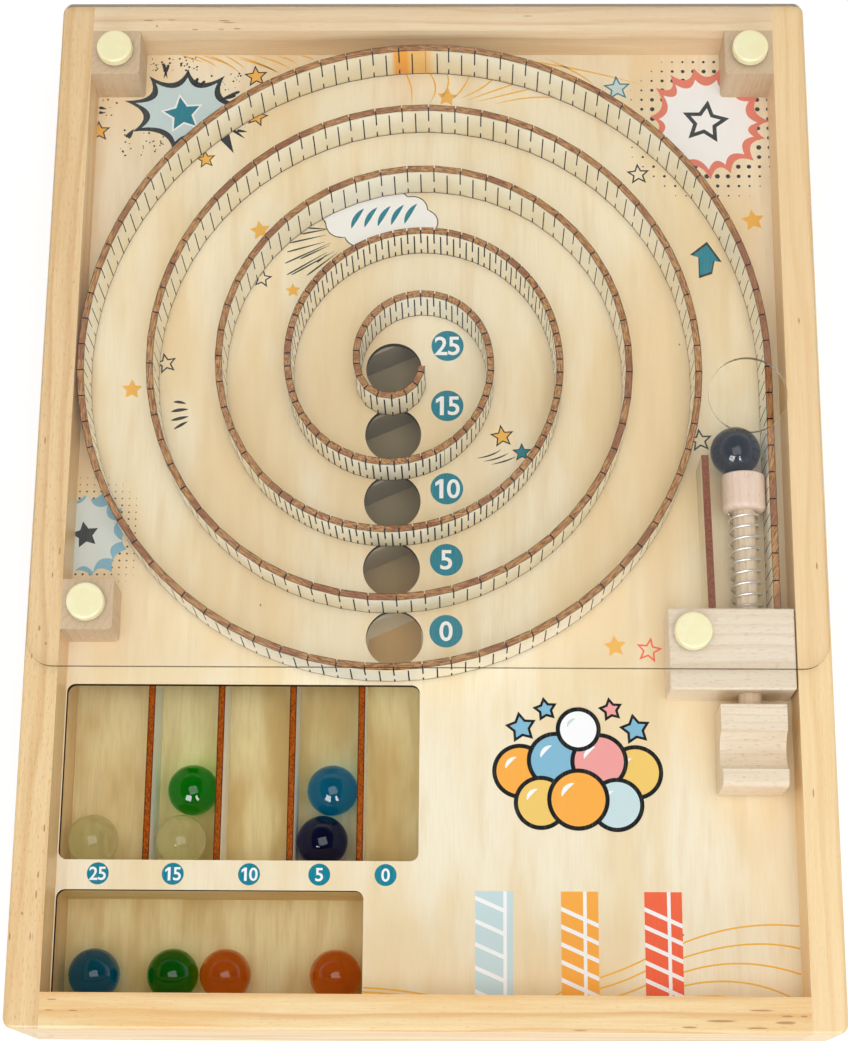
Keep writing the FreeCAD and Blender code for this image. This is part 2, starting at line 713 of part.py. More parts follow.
def lane_pair(points, left_divider, right_divider):
    """Two marbles in a lane: one against its left divider, the next leaning on it and against
    the right divider."""
    front_x = f"({left_divider} + divider_thickness / 2 + marble_reach)"
    rear_x = f"({right_divider} - divider_thickness / 2 - marble_reach)"
    behind = f"sqrt((marble_diameter + marble_gap)^2 - ({rear_x} - {front_x})^2)"
    tray_marble(f"marble_score_{points}_front", front_x, FRONT_ROW_Y)
    tray_marble(f"marble_score_{points}_rear", rear_x, f"{FRONT_ROW_Y} + {behind}")


tray_marble("marble_score_25", "-inner_x + marble_reach", FRONT_ROW_Y)
lane_pair(15, "divider_one_x", "divider_two_x")
lane_pair(5, "divider_three_x", "divider_four_x")
for number in ("one", "two", "three", "four"):
    tray_marble(f"marble_store_{number}", f"-inner_x + marble_store_{number}", STORE_ROW_Y)
marble("marble_launch", "marble_launch_x", "head_back_y + marble_reach",
       "field_top + marble_reach")

# ---------------------------------------------------------------- check and write
doc.recompute()
for piece in doc.Objects:
    if "Invalid" in piece.State or "Error" in piece.State:
        raise RuntimeError(f"{piece.Name} did not build: {piece.State}")
for piece in sub_parts:
    if piece.Shape.isNull() or not piece.Shape.isValid() or not piece.Shape.Solids:
        raise RuntimeError(f"{piece.Label} has no sound shape")

os.makedirs("parts", exist_ok=True)
for piece in sub_parts:
    piece.Shape.exportStep(f"parts/{piece.Label}.step")
print(len(sub_parts), "sub-parts written")
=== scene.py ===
"""Looks of a wooden bagatelle board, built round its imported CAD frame.

Lengths here are millimetres in the board's own frame. They turn to metres where a mesh is made.
"""
import math
import random

import bmesh
import bpy
from mathutils import Matrix, Vector
from mathutils.geometry import tessellate_polygon


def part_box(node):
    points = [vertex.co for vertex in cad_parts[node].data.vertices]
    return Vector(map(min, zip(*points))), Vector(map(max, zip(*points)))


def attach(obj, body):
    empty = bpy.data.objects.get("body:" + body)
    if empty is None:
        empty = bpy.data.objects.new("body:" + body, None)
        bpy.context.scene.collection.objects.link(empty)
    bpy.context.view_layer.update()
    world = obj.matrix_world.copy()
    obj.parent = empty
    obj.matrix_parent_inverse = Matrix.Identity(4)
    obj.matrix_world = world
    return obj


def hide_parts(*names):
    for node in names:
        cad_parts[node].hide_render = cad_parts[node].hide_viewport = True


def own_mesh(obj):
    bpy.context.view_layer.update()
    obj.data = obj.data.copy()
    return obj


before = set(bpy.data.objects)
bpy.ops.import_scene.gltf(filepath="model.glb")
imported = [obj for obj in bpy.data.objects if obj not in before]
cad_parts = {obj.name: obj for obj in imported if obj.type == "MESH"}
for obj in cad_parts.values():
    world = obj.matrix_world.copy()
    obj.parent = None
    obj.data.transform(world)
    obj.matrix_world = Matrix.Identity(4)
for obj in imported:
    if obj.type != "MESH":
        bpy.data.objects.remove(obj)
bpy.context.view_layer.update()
MM = 0.001
SCENE = bpy.context.scene


def span(node):
    """Lowest and highest corner of a CAD node."""
    low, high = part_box(node)
    return low / MM, high / MM


FIELD_TOP = span("playfield_panel")[1].z
WALL_TOP = span("spiral_strip_1")[1].z
COVER_LOW = span("clear_cover")[0].z
# A face lies flat when its normal is more upright than this.
LYING = 0.7
# The playfield hides what is further back than this, but for its holes. Plywood there is painted
# darker, as painted shade, in two steps: how far behind this line each starts, and where it is
# full.
UNDER_PANEL = -68.0
SHADE_STEPS = ((0, 16), (25, 65))

# ---------------------------------------------------------------- camera
CAMERA_PLACE = (12.34, -243.08, 814.41)
CAMERA_TURNS = ((16.732, "X"), (0.991, "Y"), (0.188, "Z"))
FOCAL_LENGTH = 78.1


def add_camera():
    """A long lens above the board's front edge, tilted back a little."""
    data = bpy.data.cameras.new("studio_camera")
    data.sensor_width = 36.0
    data.lens = FOCAL_LENGTH
    data.clip_start = 0.05
    data.clip_end = 20.0
    camera = bpy.data.objects.new("studio_camera", data)
    SCENE.collection.objects.link(camera)
    view = Matrix.Translation(Vector(CAMERA_PLACE) * MM)
    for degrees, axis in CAMERA_TURNS:
        view = view @ Matrix.Rotation(math.radians(degrees), 4, axis)
    camera.matrix_world = view
    SCENE.camera = camera


add_camera()


# ---------------------------------------------------------------- facts of the spiral wall
SPIRAL_CENTRE = Vector((-8.405, 46.670))
SPIRAL_RADIUS = 123.703
SPIRAL_PITCH = 24.92
SPIRAL_SPLIT = 18.5
WALL_THICKNESS = 2.5
OUTER_FACET = 10.0
INNER_FACET = 5.0
BUTT_GAP = 0.2
# Widths of the laser's cuts, and the first of the strips that are cut closer.
OUTER_KERF = 0.5
INNER_KERF = 0.56
FIRST_INNER_STRIP = 5
BUTTS = (0.0, 90.0, 225.0, 536.0, 947.0, 1382.0, 1800.0)
# Heights as shares of the strip: a cut at each fold comes in from both edges, a cut between two
# folds comes up from below, and a near-black line runs along the foot.
FOOT_LINE = 0.026
FOLD_CUT_LOW, FOLD_CUT_HIGH = 0.22, 0.52
MIDDLE_CUT_HIGH = 0.89
# Depths as shares of the thickness: a burnt corner at each face, and in the middle the web of
# fibres that closes each cut.
DEPTHS = (0.0, 0.07, 0.42, 0.58, 0.93, 1.0)
WEB = 2
# A strip's finishes: its faces, the plies of its edges, and what is burnt. The line along the foot
# takes the last one too.
BIRCH, PLIES, CHAR = 0, 1, 2
# Half way in, an angle round the spiral is this many millimetres a radian.
MEAN_RADIUS = 70.0


# ---------------------------------------------------------------- shader building
def linear(code):
    """An sRGB hex value as the linear colour that Blender's sockets take."""
    parts = [int(code[i:i + 2], 16) / 255 for i in (1, 3, 5)]
    return [p / 12.92 if p <= 0.04045 else ((p + 0.055) / 1.055) ** 2.4 for p in parts] + [1.0]


def add(tree, kind, links=None, stops=(), **settings):
    """Adds a shader node. Settings are its own properties. Links give an input a value, a colour's
    hex value, an output, or a node, whose first output it takes. Stops are a colour ramp's places
    and colours."""
    node = tree.nodes.new("ShaderNode" + kind)
    for name, value in settings.items():
        setattr(node, name, value)
    for name, value in (links or {}).items():
        if isinstance(value, str):
            value = linear(value)
        if isinstance(value, bpy.types.Node):
            value = next(output for output in value.outputs if output.enabled)
        if isinstance(value, bpy.types.NodeSocket):
            tree.links.new(value, node.inputs[name])
        else:
            node.inputs[name].default_value = value
    for place, code in stops:
        node.color_ramp.elements.new(place).color = linear(code)
    for extra in range(2 if stops else 0):
        spare = [e for e in node.color_ramp.elements if list(e.color) in ([0, 0, 0, 1], [1, 1, 1, 1])]
        node.color_ramp.elements.remove(spare[0])
    return node


def start_material(name):
    made = bpy.data.materials.new(name)
    made.use_nodes = True
    made.node_tree.nodes.clear()
    return made, made.node_tree


ORDER = {"X": "YZX", "Y": "ZXY", "Z": "XYZ"}


def along_grain(tree, grain):
    """Places in millimetres, with the direction of the grain last."""
    axes = add(tree, "SeparateXYZ", {0: add(tree, "TexCoord").outputs["Object"]})
    turned = add(tree, "CombineXYZ", {i: axes.outputs[name] for i, name in enumerate(ORDER[grain])})
    return add(tree, "VectorMath", {0: turned, 1: (1 / MM,) * 3}, operation="MULTIPLY")


def streaks(tree, place, across, along, detail=2.0, rough=0.5):
    """Soft noise of streaks this wide and this long in millimetres."""
    scaled = add(tree, "VectorMath", {0: place, 1: (1 / across, 1 / across, 1 / along)}, operation="MULTIPLY")
    return add(tree, "TexNoise", {"Vector": scaled, "Scale": 1.0, "Detail": detail, "Roughness": rough})


def laid_over(tree, ground, colour, pattern, start, full, most=1.0, least=0.0, blend="MIX"):
    """A colour laid over the ground by a share that a pattern takes from the least to the most."""
    share = add(tree, "MapRange", {0: pattern, 1: start, 2: full, 3: least, 4: most},
                interpolation_type="SMOOTHSTEP")
    return add(tree, "Mix", {0: share, 6: ground, 7: colour}, data_type="RGBA", blend_type=blend)


def marked(tree, colour, marks, code, depth=0.8):
    """Short marks on the wood, each a soft ellipse (x, y, half length along x, half length along y)."""
    ground = add(tree, "TexCoord").outputs["Object"]
    for x, y, half_x, half_y in marks:
        offset = add(tree, "VectorMath", {0: ground, 1: (x * MM, y * MM, 0)}, operation="SUBTRACT")
        size = (1 / (half_x * MM), 1 / (half_y * MM), 0)
        scaled = add(tree, "VectorMath", {0: offset, 1: size}, operation="MULTIPLY")
        reach = add(tree, "VectorMath", {0: scaled}, operation="LENGTH")
        colour = laid_over(tree, colour, code, reach, 0.7, 1.2, 0.0, depth)
    return colour


def wood_surface(tree, colour, fibre, roughness, lacquer=0.0, shine=0.3):
    """The shader of a wood face: fibres stand a little proud of the pores between them, and a
    lacquer, where there is one, lies over both. Scorched wood has hardly any shine."""
    bump = add(tree, "Bump", {"Height": fibre, "Strength": 0.35, "Distance": 0.04 * MM})
    sheen = add(tree, "MapRange", {0: fibre, 1: 0.3, 2: 0.7, 3: roughness + 0.06, 4: roughness - 0.04})
    return add(tree, "BsdfPrincipled", {
        "Base Color": colour, "Roughness": sheen, "Normal": bump, "IOR": 1.5,
        "Specular IOR Level": shine, "Coat Weight": lacquer, "Coat Roughness": 0.3})


def solid_wood(name, grain, early, late, warm, ring, pith, pores=0.25, roughness=0.5, lacquer=0.0,
               marks=(), mark="#6B4024"):
    """Sawn timber. Growth rings run round the pith, which is outside the piece, and fibres and
    pores run with the grain."""
    made, tree = start_material(name)
    place = along_grain(tree, grain)
    offset = add(tree, "VectorMath", {0: place, 1: (*pith, 0)}, operation="SUBTRACT")
    level = add(tree, "VectorMath", {0: offset, 1: (1, 1, 0)}, operation="MULTIPLY")
    reach = add(tree, "VectorMath", {0: level}, operation="LENGTH")
    years = add(tree, "Math", {0: reach, 1: ring}, operation="DIVIDE")
    wander = add(tree, "Math", {0: streaks(tree, place, 25, 160), 1: 2.4, 2: years}, operation="MULTIPLY_ADD")
    year = add(tree, "Math", {0: wander}, operation="FRACT")
    colour = add(tree, "ValToRGB", {0: year}, stops=((0.0, early), (0.5, early), (0.86, late), (0.99, early)))
    colour = laid_over(tree, colour, warm, streaks(tree, place, 14, 90), 0.42, 0.68, 0.6)
    fibre = streaks(tree, place, 0.7, 18, 3.0, 0.6)
    colour = laid_over(tree, colour, late, fibre, 0.38, 0.62, 0.0, 0.16, "MULTIPLY")
    colour = laid_over(tree, colour, mark, streaks(tree, place, 0.4, 2.6, 1.0), 0.6, 0.72, pores)
    colour = marked(tree, colour, marks, mark)
    add(tree, "OutputMaterial", {"Surface": wood_surface(tree, colour, fibre, roughness, lacquer)})
    return made


def veneer(tree, place, pale, warm, grey, clouds=(26, 90)):
    """Colour of a peeled birch face: clouds of tone, this wide and this long in millimetres, with
    fine short lines of grain over them."""
    colour = laid_over(tree, pale, warm, streaks(tree, place, *clouds, 3.0, 0.55), 0.36, 0.64)
    colour = laid_over(tree, colour, grey, streaks(tree, place, 6, 40, 3.0), 0.48, 0.72, 0.4)
    fine = streaks(tree, place, 0.7, 12, 3.0, 0.65)
    return laid_over(tree, colour, grey, fine, 0.36, 0.56, 0.0, 0.16), fine


def charred(tree, place, dark, light):
    """Colour of a laser cut through plywood: burnt fibres between lighter ones."""
    fibres = streaks(tree, place, 0.45, 0.8, 3.0, 0.75)
    return laid_over(tree, dark, light, fibres, 0.36, 0.64)


def plywood(name, pale, warm, grey, char, ember, edge_faces_up=False, grain="Y", spots=(), darkening=(),
            clouds=(26, 90), rim=None):
    """Birch plywood cut by laser: peeled veneer on its faces, scorched layers on its cut edges.
    Where the sheet stands on edge, the edge is what faces up, and its corners are burnt darkest:
    a rim gives the x of its middle. What lies under the playfield is painted darker, as painted
    shade: two colours, the near one and the one further back."""
    made, tree = start_material(name)
    place = along_grain(tree, grain)
    face, fine = veneer(tree, place, pale, warm, grey, clouds)
    face = marked(tree, face, spots, "#7A4C2A")
    normal = add(tree, "SeparateXYZ", {0: add(tree, "NewGeometry").outputs["True Normal"]})
    upright = add(tree, "Math", {0: normal.outputs["Z"]}, operation="ABSOLUTE")
    lying = add(tree, "Math", {0: upright, 1: LYING}, operation="GREATER_THAN")
    edge = charred(tree, place, char, ember)
    axes = add(tree, "SeparateXYZ", {0: add(tree, "TexCoord").outputs["Object"]}).outputs
    if rim is not None:
        aside = add(tree, "Math", {0: axes["X"], 1: rim * MM}, operation="SUBTRACT")
        off = add(tree, "Math", {0: aside}, operation="ABSOLUTE")
        edge = laid_over(tree, edge, "#2A0E02", off, 0.65 * MM, 1.05 * MM, 0.8)
    first, second = (face, edge) if edge_faces_up else (edge, face)
    colour = add(tree, "Mix", {0: lying, 6: first, 7: second}, data_type="RGBA")
    # Painted shade: under the playfield the colour is laid over darker, in two steps towards the back.
    for code, step in zip(darkening, SHADE_STEPS):
        start, full = ((UNDER_PANEL + back) * MM for back in step)
        colour = laid_over(tree, colour, code, axes["Y"], start, full, 0.8)
    add(tree, "OutputMaterial", {"Surface": wood_surface(tree, colour, fine, 0.55, 0.0, 0.08)})
    return made


def round_spiral(tree):
    """Places in millimetres: outwards from the spiral's centre, up, and last along its turns."""
    place = along_grain(tree, "Z")
    offset = add(tree, "VectorMath", {0: place, 1: (*SPIRAL_CENTRE, 0)}, operation="SUBTRACT")
    axes = add(tree, "SeparateXYZ", {0: offset}).outputs
    level = add(tree, "VectorMath", {0: offset, 1: (1, 1, 0)}, operation="MULTIPLY")
    reach = add(tree, "VectorMath", {0: level}, operation="LENGTH")
    angle = add(tree, "Math", {0: axes["Y"], 1: axes["X"]}, operation="ARCTAN2")
    along = add(tree, "Math", {0: angle, 1: MEAN_RADIUS}, operation="MULTIPLY")
    return add(tree, "CombineXYZ", {0: reach, 1: axes["Z"], 2: along})


def scorched(name, dark, light, ember, spots=(), spot="#D0761E"):
    """The laser-cut edge of a thin strip: the plies show as brown lines that run along it, here
    and there burnt darker or redder."""
    made, tree = start_material(name)
    place = round_spiral(tree)
    plies = streaks(tree, place, 0.42, 2.4, 3.0, 0.7)
    colour = laid_over(tree, dark, light, plies, 0.38, 0.6)
    colour = laid_over(tree, colour, ember, streaks(tree, place, 9, 14), 0.48, 0.64, 0.6)
    colour = marked(tree, colour, spots, spot)
    add(tree, "OutputMaterial", {"Surface": wood_surface(tree, colour, plies, 0.6, 0.0, 0.1)})
    return made


def strip_face(name, pale, warm, darkening, burns, tans):
    """The face of a kerfed strip: pale birch, with smoke stains near the cut edges."""
    made, tree = start_material(name)
    place = along_grain(tree, "Z")
    colour, fine = veneer(tree, place, pale, warm, warm)
    height = add(tree, "SeparateXYZ", {0: place}).outputs["Z"]
    low = add(tree, "MapRange", {0: height, 1: FIELD_TOP + 0.5, 2: FIELD_TOP + 2.5, 3: 0.45, 4: 0.0})
    high = add(tree, "MapRange", {0: height, 1: WALL_TOP - 1.6, 2: WALL_TOP, 3: 0.0, 4: 0.4})
    patchy = add(tree, "Math", {0: streaks(tree, place, 2.5, 4.0), 1: add(tree, "Math", {0: low, 1: high})},
                 operation="MULTIPLY")
    colour = laid_over(tree, colour, darkening, patchy, 0.02, 0.24, 0.42)
    colour = marked(tree, colour, tans, "#FFC450", 0.85)
    colour = marked(tree, colour, burns, "#FFAE1E", 0.95)
    add(tree, "OutputMaterial", {"Surface": wood_surface(tree, colour, fine, 0.55)})
    return made


def printing_ink(name, code):
    """Screen-printed ink on bare birch: matt, thin, with the grain showing through a little."""
    made, tree = start_material(name)
    place = along_grain(tree, "Y")
    grain = streaks(tree, place, 0.5, 12, 3.0, 0.6)
    colour = laid_over(tree, code, "#EBD5B0", grain, 0.3, 0.55, 0.0, 0.05)
    bump = add(tree, "Bump", {"Height": grain, "Strength": 0.3, "Distance": 0.03 * MM})
    ink = add(tree, "BsdfPrincipled", {"Base Color": colour, "Roughness": 0.6, "IOR": 1.5, "Normal": bump,
                                       "Specular IOR Level": 0.1})
    add(tree, "OutputMaterial", {"Surface": ink})
    return made


def glass(name, tint, shadow, depth):
    """Pressed glass: clear body colour, a little milky, with a fire-polished skin and fine cords
    inside that bend what is seen through it. Lamps reach what lies behind it, tinted."""
    made, tree = start_material(name)
    cords = streaks(tree, along_grain(tree, "Z"), 3.0, 7.0)
    colour = laid_over(tree, tint, shadow, cords, 0.35, 0.7, depth)
    bump = add(tree, "Bump", {"Height": cords, "Strength": 0.18, "Distance": 0.1 * MM})
    body = add(tree, "BsdfPrincipled", {"Base Color": colour, "Roughness": 0.015, "IOR": 1.5,
                                        "Transmission Weight": 0.97, "Normal": bump})
    clear = add(tree, "BsdfTransparent", {"Color": shadow})
    lamp = add(tree, "LightPath").outputs["Is Shadow Ray"]
    add(tree, "OutputMaterial", {"Surface": add(tree, "MixShader", {0: lamp, 1: body, 2: clear})})
    return made


def acrylic_sheet(name):
    """Cast acrylic: nearly colourless to look through, a mirror-like skin and a breath of haze."""
    made, tree = start_material(name)
    haze = add(tree, "MapRange", {0: streaks(tree, along_grain(tree, "Z"), 40, 40, 3.0), 1: 0.3, 2: 0.7,
                                  3: 0.016, 4: 0.03})
    clear = add(tree, "BsdfTransparent", {"Color": "#FFFEFD"})
    dust = add(tree, "BsdfDiffuse", {"Color": "#FFFAF6"})
    hazed = add(tree, "MixShader", {0: haze, 1: clear, 2: dust})
    mirror = add(tree, "BsdfGlossy", {"Color": "#FFFFFF", "Roughness": 0.03})
    grazing = add(tree, "Math", {0: add(tree, "LayerWeight", {"Blend": 0.5}).outputs["Facing"], 1: 5.0},
                  operation="POWER")
    share = add(tree, "Math", {0: grazing, 1: 0.985, 2: 0.015}, operation="MULTIPLY_ADD")
    sheet = add(tree, "MixShader", {0: share, 1: hazed, 2: mirror})
    rays = add(tree, "LightPath").outputs
    free = add(tree, "BsdfTransparent", {"Color": "#FFFFFF"})
    soft = add(tree, "MixShader", {0: rays["Is Diffuse Ray"], 1: sheet, 2: free})
    whole = add(tree, "MixShader", {0: rays["Is Shadow Ray"], 1: soft, 2: free})
    add(tree, "OutputMaterial", {"Surface": whole})
    return made


# Half the loading hole's width and a little more: what lies nearer to its middle is its edge.
HOLE_REACH = 22


def load_hole():
    """Middle of the clear cover's loading hole, from the only corners of the cover that lie away
    from its sides."""
    low, high = span("clear_cover")
    places = [vertex.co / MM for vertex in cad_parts["clear_cover"].data.vertices]
    rim = [p for p in places if all(low[i] + 10 < p[i] < high[i] - 10 for i in (0, 1))]
    return [(min(p[i] for p in rim) + max(p[i] for p in rim)) / 2 for i in (0, 1)]


def acrylic_cut_edge(name):
    """The edge of acrylic. The front one and the loading hole's are painted darker, as painted shade,
    and read as thin grey-brown lines. The others are polished and stay pale."""
    made, tree = start_material(name)
    saw = streaks(tree, along_grain(tree, "Z"), 0.5, 4.0)
    tone = laid_over(tree, "#D8D0BE", "#EFEADC", saw, 0.3, 0.7)
    normal = add(tree, "SeparateXYZ", {0: add(tree, "NewGeometry").outputs["True Normal"]})
    forward = add(tree, "Math", {0: normal.outputs["Y"], 1: -1.0}, operation="MULTIPLY")
    # Painted shade: edges that face the front, and the loading hole's rim, are darkened to grey-brown.
    tone = laid_over(tree, tone, "#62553F", forward, 0.6, 0.98)
    tone = marked(tree, tone, [(*load_hole(), HOLE_REACH, HOLE_REACH)], "#6A6150", 0.85)
    share = add(tree, "MapRange", {0: forward, 1: 0.6, 2: 0.98, 3: 0.5, 4: 0.75})
    body = add(tree, "BsdfDiffuse", {"Color": tone})
    clear = add(tree, "BsdfTransparent", {"Color": "#F4F2EC"})
    add(tree, "OutputMaterial", {"Surface": add(tree, "MixShader", {0: share, 1: clear, 2: body})})
    return made


def moulded_plastic(name, code, shade):
    """Moulded polyethylene: a soft satin skin that lets a little light into it."""
    made, tree = start_material(name)
    place = along_grain(tree, "Z")
    colour = laid_over(tree, code, shade, streaks(tree, place, 5, 5), 0.35, 0.65, 0.4)
    pebble = streaks(tree, place, 0.6, 0.6)
    bump = add(tree, "Bump", {"Height": pebble, "Strength": 0.1, "Distance": 0.02 * MM})
    skin = add(tree, "BsdfPrincipled", {
        "Base Color": colour, "Roughness": 0.34, "IOR": 1.5, "Subsurface Weight": 0.15,
        "Subsurface Scale": 0.002, "Normal": bump})
    add(tree, "OutputMaterial", {"Surface": skin})
    return made


def drawn_metal(name, code, shade, roughness):
    """Drawn or plated steel: bright, with fine lengthwise die marks."""
    made, tree = start_material(name)
    marks = streaks(tree, along_grain(tree, "Y"), 0.25, 3.0)
    colour = laid_over(tree, code, shade, marks, 0.35, 0.65)
    rough = add(tree, "MapRange", {0: marks, 1: 0.3, 2: 0.7, 3: roughness - 0.06, 4: roughness + 0.08})
    metal = add(tree, "BsdfPrincipled", {"Base Color": colour, "Metallic": 1.0, "Roughness": rough})
    add(tree, "OutputMaterial", {"Surface": metal})
    return made


# ---------------------------------------------------------------- finishes of this board
# Marks are ellipses: x, y, half length along x, half length along y. These are resin flecks.
RAIL_FLECKS = {
    "back_rail": [(-107.3, 183.4, 2.0, 0.25), (-98.5, 183.6, 1.6, 0.2), (-78.7, 183.3, 2.2, 0.25),
                  (-77.1, 182.5, 2.4, 0.2), (-89.5, 179.6, 1.2, 0.2), (-79.5, 179.7, 1.2, 0.2),
                  (-73.6, 179.9, 1.4, 0.25), (-104.0, 181.0, 0.4, 0.4), (36.0, 185.2, 1.8, 0.2)],
    "left_rail": [(-129.5, -123.4, 0.3, 1.4), (-130.7, -139.1, 0.3, 1.2), (-131.0, -145.8, 0.3, 1.5),
                  (-135.4, -152.1, 0.4, 0.6), (-139.1, -159.9, 0.3, 1.2), (-132.2, -159.8, 0.25, 1.3),
                  (-129.6, -25.6, 0.3, 1.4), (-131.7, -34.3, 0.3, 1.0), (-135.2, -53.5, 0.4, 1.0),
                  (-132.6, -59.0, 0.4, 0.6), (-137.3, -63.5, 0.25, 1.0), (-137.1, 15.5, 0.3, 1.4)],
    "front_rail": [(-123.8, -180.4, 1.7, 0.2), (-124.8, -183.9, 1.3, 0.18), (-116.6, -184.0, 1.5, 0.2),
                   (51.6, -189.3, 2.4, 0.25), (87.6, -188.1, 2.6, 0.3), (111.4, -182.5, 4.0, 0.3),
                   (109.9, -188.2, 3.6, 0.3), (119.9, -184.3, 2.0, 0.3), (119.3, -186.4, 3.4, 0.5),
                   (125.4, -184.3, 1.2, 0.3), (98.0, -186.0, 5.0, 0.4)],
    "right_rail": [(133.4, 62.0, 0.3, 1.2), (136.0, -30.0, 0.3, 1.3), (131.5, -110.0, 0.25, 1.6)],
}
# Planed, lacquered pine: honey-coloured, faint growth lines, short resin flecks, a satin glow.
# Its grain, pith, early wood, late wood, a warm tint, and how strong its pores are.
PINE = {
    "left_rail": ("Y", (30, -170), "#F3D39E", "#E6BE86", "#EBC48A", 0.4),
    "right_rail": ("Y", (20, 175), "#FADBA6", "#F4D098", "#F7D5A0", 0.12),
    "front_rail": ("X", (-225, 18), "#F6D8A0", "#E6B676", "#EFBE76", 0.2),
    "back_rail": ("X", (225, 30), "#F8E0B8", "#EACA9E", "#F2D4AA", 0.16),
    "deck_batten": ("X", (40, -20), "#F3DDB3", "#E4BF8A", "#EDBE7F", 0.16),
}
for node, (grain, pith, early, late, warm, pores) in PINE.items():
    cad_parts[node].data.materials[0] = solid_wood(
        f"lacquered_pine_{node}", grain, early, late, warm, 5.5, pith, pores, 0.42, 0.25,
        RAIL_FLECKS.get(node, ()), "#B07A48")


def sanded_beech(name, grain, pith, early, late, pores=0.4):
    """Sanded beech: close rings and the short brown flecks of its rays, quite matt."""
    return solid_wood(name, grain, early, late, late, 2.4, pith, pores, 0.5, 0.0, (), "#B08C68")


# Pin knots of the playfield, and where the laser burnt and tanned the faces of the strips.
FIELD_SPOTS = [(88.0, -155.8, 0.35, 0.4), (-60.0, -40.0, 0.3, 0.5), (92.0, 60.0, 0.3, 0.4)]
STRIP_BURNS = [(-11.8, 169.2, 3.4, 3.0), (10.0, 23.5, 2.2, 2.2)]
STRIP_TANS = [(-6.0, 169.2, 8.0, 3.0)]
# Printed birch plywood: pale cream clouds with fine straight grain, and black-brown cut edges.
field_ply = plywood("printed_birch_plywood", "#FAEFD3", "#F3DDB2", "#E8D0A4", "#0A0302", "#2A120A",
                    spots=FIELD_SPOTS)
# Unfinished birch plywood of the lower deck: yellower and a little darker.
# Under the playfield the deck is painted darker in two steps: painted shade.
deck_ply = plywood("birch_plywood_deck", "#F1E1AC", "#D7B97B", "#C9AB6D", "#4A2814", "#8A5A34",
                   darkening=("#C2985A", "#A29A7C"), clouds=(22, 60))
base_ply = plywood("birch_plywood_base", "#E8D6B0", "#DDC49A", "#CDB388", "#A98258", "#D0AE80")
# Birch plywood on edge, cut by laser: whitish faces and orange-brown scorched top edges.
DIVIDER_THICKNESS = 2.4
STANDING = ("#FBF7E8", "#F4ECD6", "#E4D9BC", "#722E00", "#BA5A00")
# Painted shade: the two darker colours taken by what stands under the playfield.
STANDING_SHADE = ("#E4DAC2", "#A59C86")
standing_ply = plywood("laser_cut_plywood", *STANDING, edge_faces_up=True, darkening=STANDING_SHADE)
bar_ply = plywood("birch_plywood_bar", "#F6E2AA", "#E8CA8C", "#D6B87C", "#4A2814", "#8A5A34",
                  edge_faces_up=True, grain="X")
guide_ply = plywood("laser_cut_plywood_guide", "#F2EAD4", "#E6D8B6", "#D0BE98", "#6C3822", "#9A5A3C",
                    edge_faces_up=True)
# Kerfed strips: cream birch faces, nut-brown burnt edges, near-black cuts.
face_birch = strip_face("kerfed_birch_face", "#FFF9E4", "#F8EED0", "#BC935C", STRIP_BURNS, STRIP_TANS)
edge_birch = scorched("scorched_strip_edge", "#7C4A28", "#C8965C", "#844A30", [(10.0, 23.5, 2.4, 2.4)],
                      "#8A4410")
kerf_char = scorched("charred_kerf", "#100805", "#34200F", "#1C100A")
# Drawn spring steel: bright and cool, with sharp light and dark sides on each turn of wire.
spring_steel = drawn_metal("drawn_spring_steel", "#FAFBFB", "#E2E5E6", 0.42)
# Zinc plating: a duller grey.
zinc = drawn_metal("zinc_plated_steel", "#C8C6BE", "#97958C", 0.36)
# Moulded cream caps: even and satin, with light gathering softly in them.
cap_plastic = moulded_plastic("moulded_cream_plastic", "#FFF4C6", "#F9E9B0")
sheet_acrylic = acrylic_sheet("cast_acrylic_sheet")
edge_acrylic = acrylic_cut_edge("cast_acrylic_edge")
# Pressed glass of the marbles: deep body colours that light up at their lower rims.
GLASSES = {
    "glass_clear": glass("pressed_glass_clear", "#F8F7E0", "#F4F4E6", 0.5),
    "glass_green": glass("pressed_glass_green", "#08B00A", "#8ED86A", 0.02),
    "glass_blue": glass("pressed_glass_blue", "#009CD6", "#A4DCEC", 0.01),
    "glass_navy": glass("pressed_glass_navy", "#27307C", "#9496CC", 0.05),
    "glass_orange": glass("pressed_glass_orange", "#EE9C28", "#FBD6A8", 0.03),
    # A greyer copy of the navy glass, for the marble under the cover: painted reflection of its veil.
    "glass_navy_painted_veil": glass("pressed_glass_navy_painted_veil", "#36547C", "#A8BCD0", 0.03),
}

CAD_FINISHES = {
    "playfield_panel": field_ply, "tray_deck": deck_ply, "base_panel": base_ply,
    "plunger_guide": guide_ply, "cover_screws": zinc, "tray_bar": bar_ply, "storage_end_wall": bar_ply,
    "channel_back_wall": standing_ply, "channel_side_wall": standing_ply,
    "plunger_block": sanded_beech("sanded_beech_block", "X", (-70, 70), "#F3E5CE", "#EAD8BC"),
    "plunger_handle": sanded_beech("sanded_beech_handle", "X", (-120, 66), "#F3E2C8", "#EBD8BA"),
    "plunger_rod": sanded_beech("dowel_beech", "Y", (30, 90), "#EBDBC2", "#DCC4A4"),
    "plunger_head": sanded_beech("turned_beech_head", "Y", (30, 95), "#F5DECA", "#EACFB8", 0.3),
}
for number in (1, 2, 3, 4):
    # A divider's straight part is at its left. The rest slants away under the playfield.
    middle = span(f"lane_divider_{number}")[0].x + DIVIDER_THICKNESS / 2
    # Under the playfield a divider is painted darker, as painted shade.
    CAD_FINISHES[f"lane_divider_{number}"] = plywood(
        f"laser_cut_plywood_divider_{number}", *STANDING, edge_faces_up=True, darkening=STANDING_SHADE,
        rim=middle)
    CAD_FINISHES[f"screw_cap_{number}"] = cap_plastic
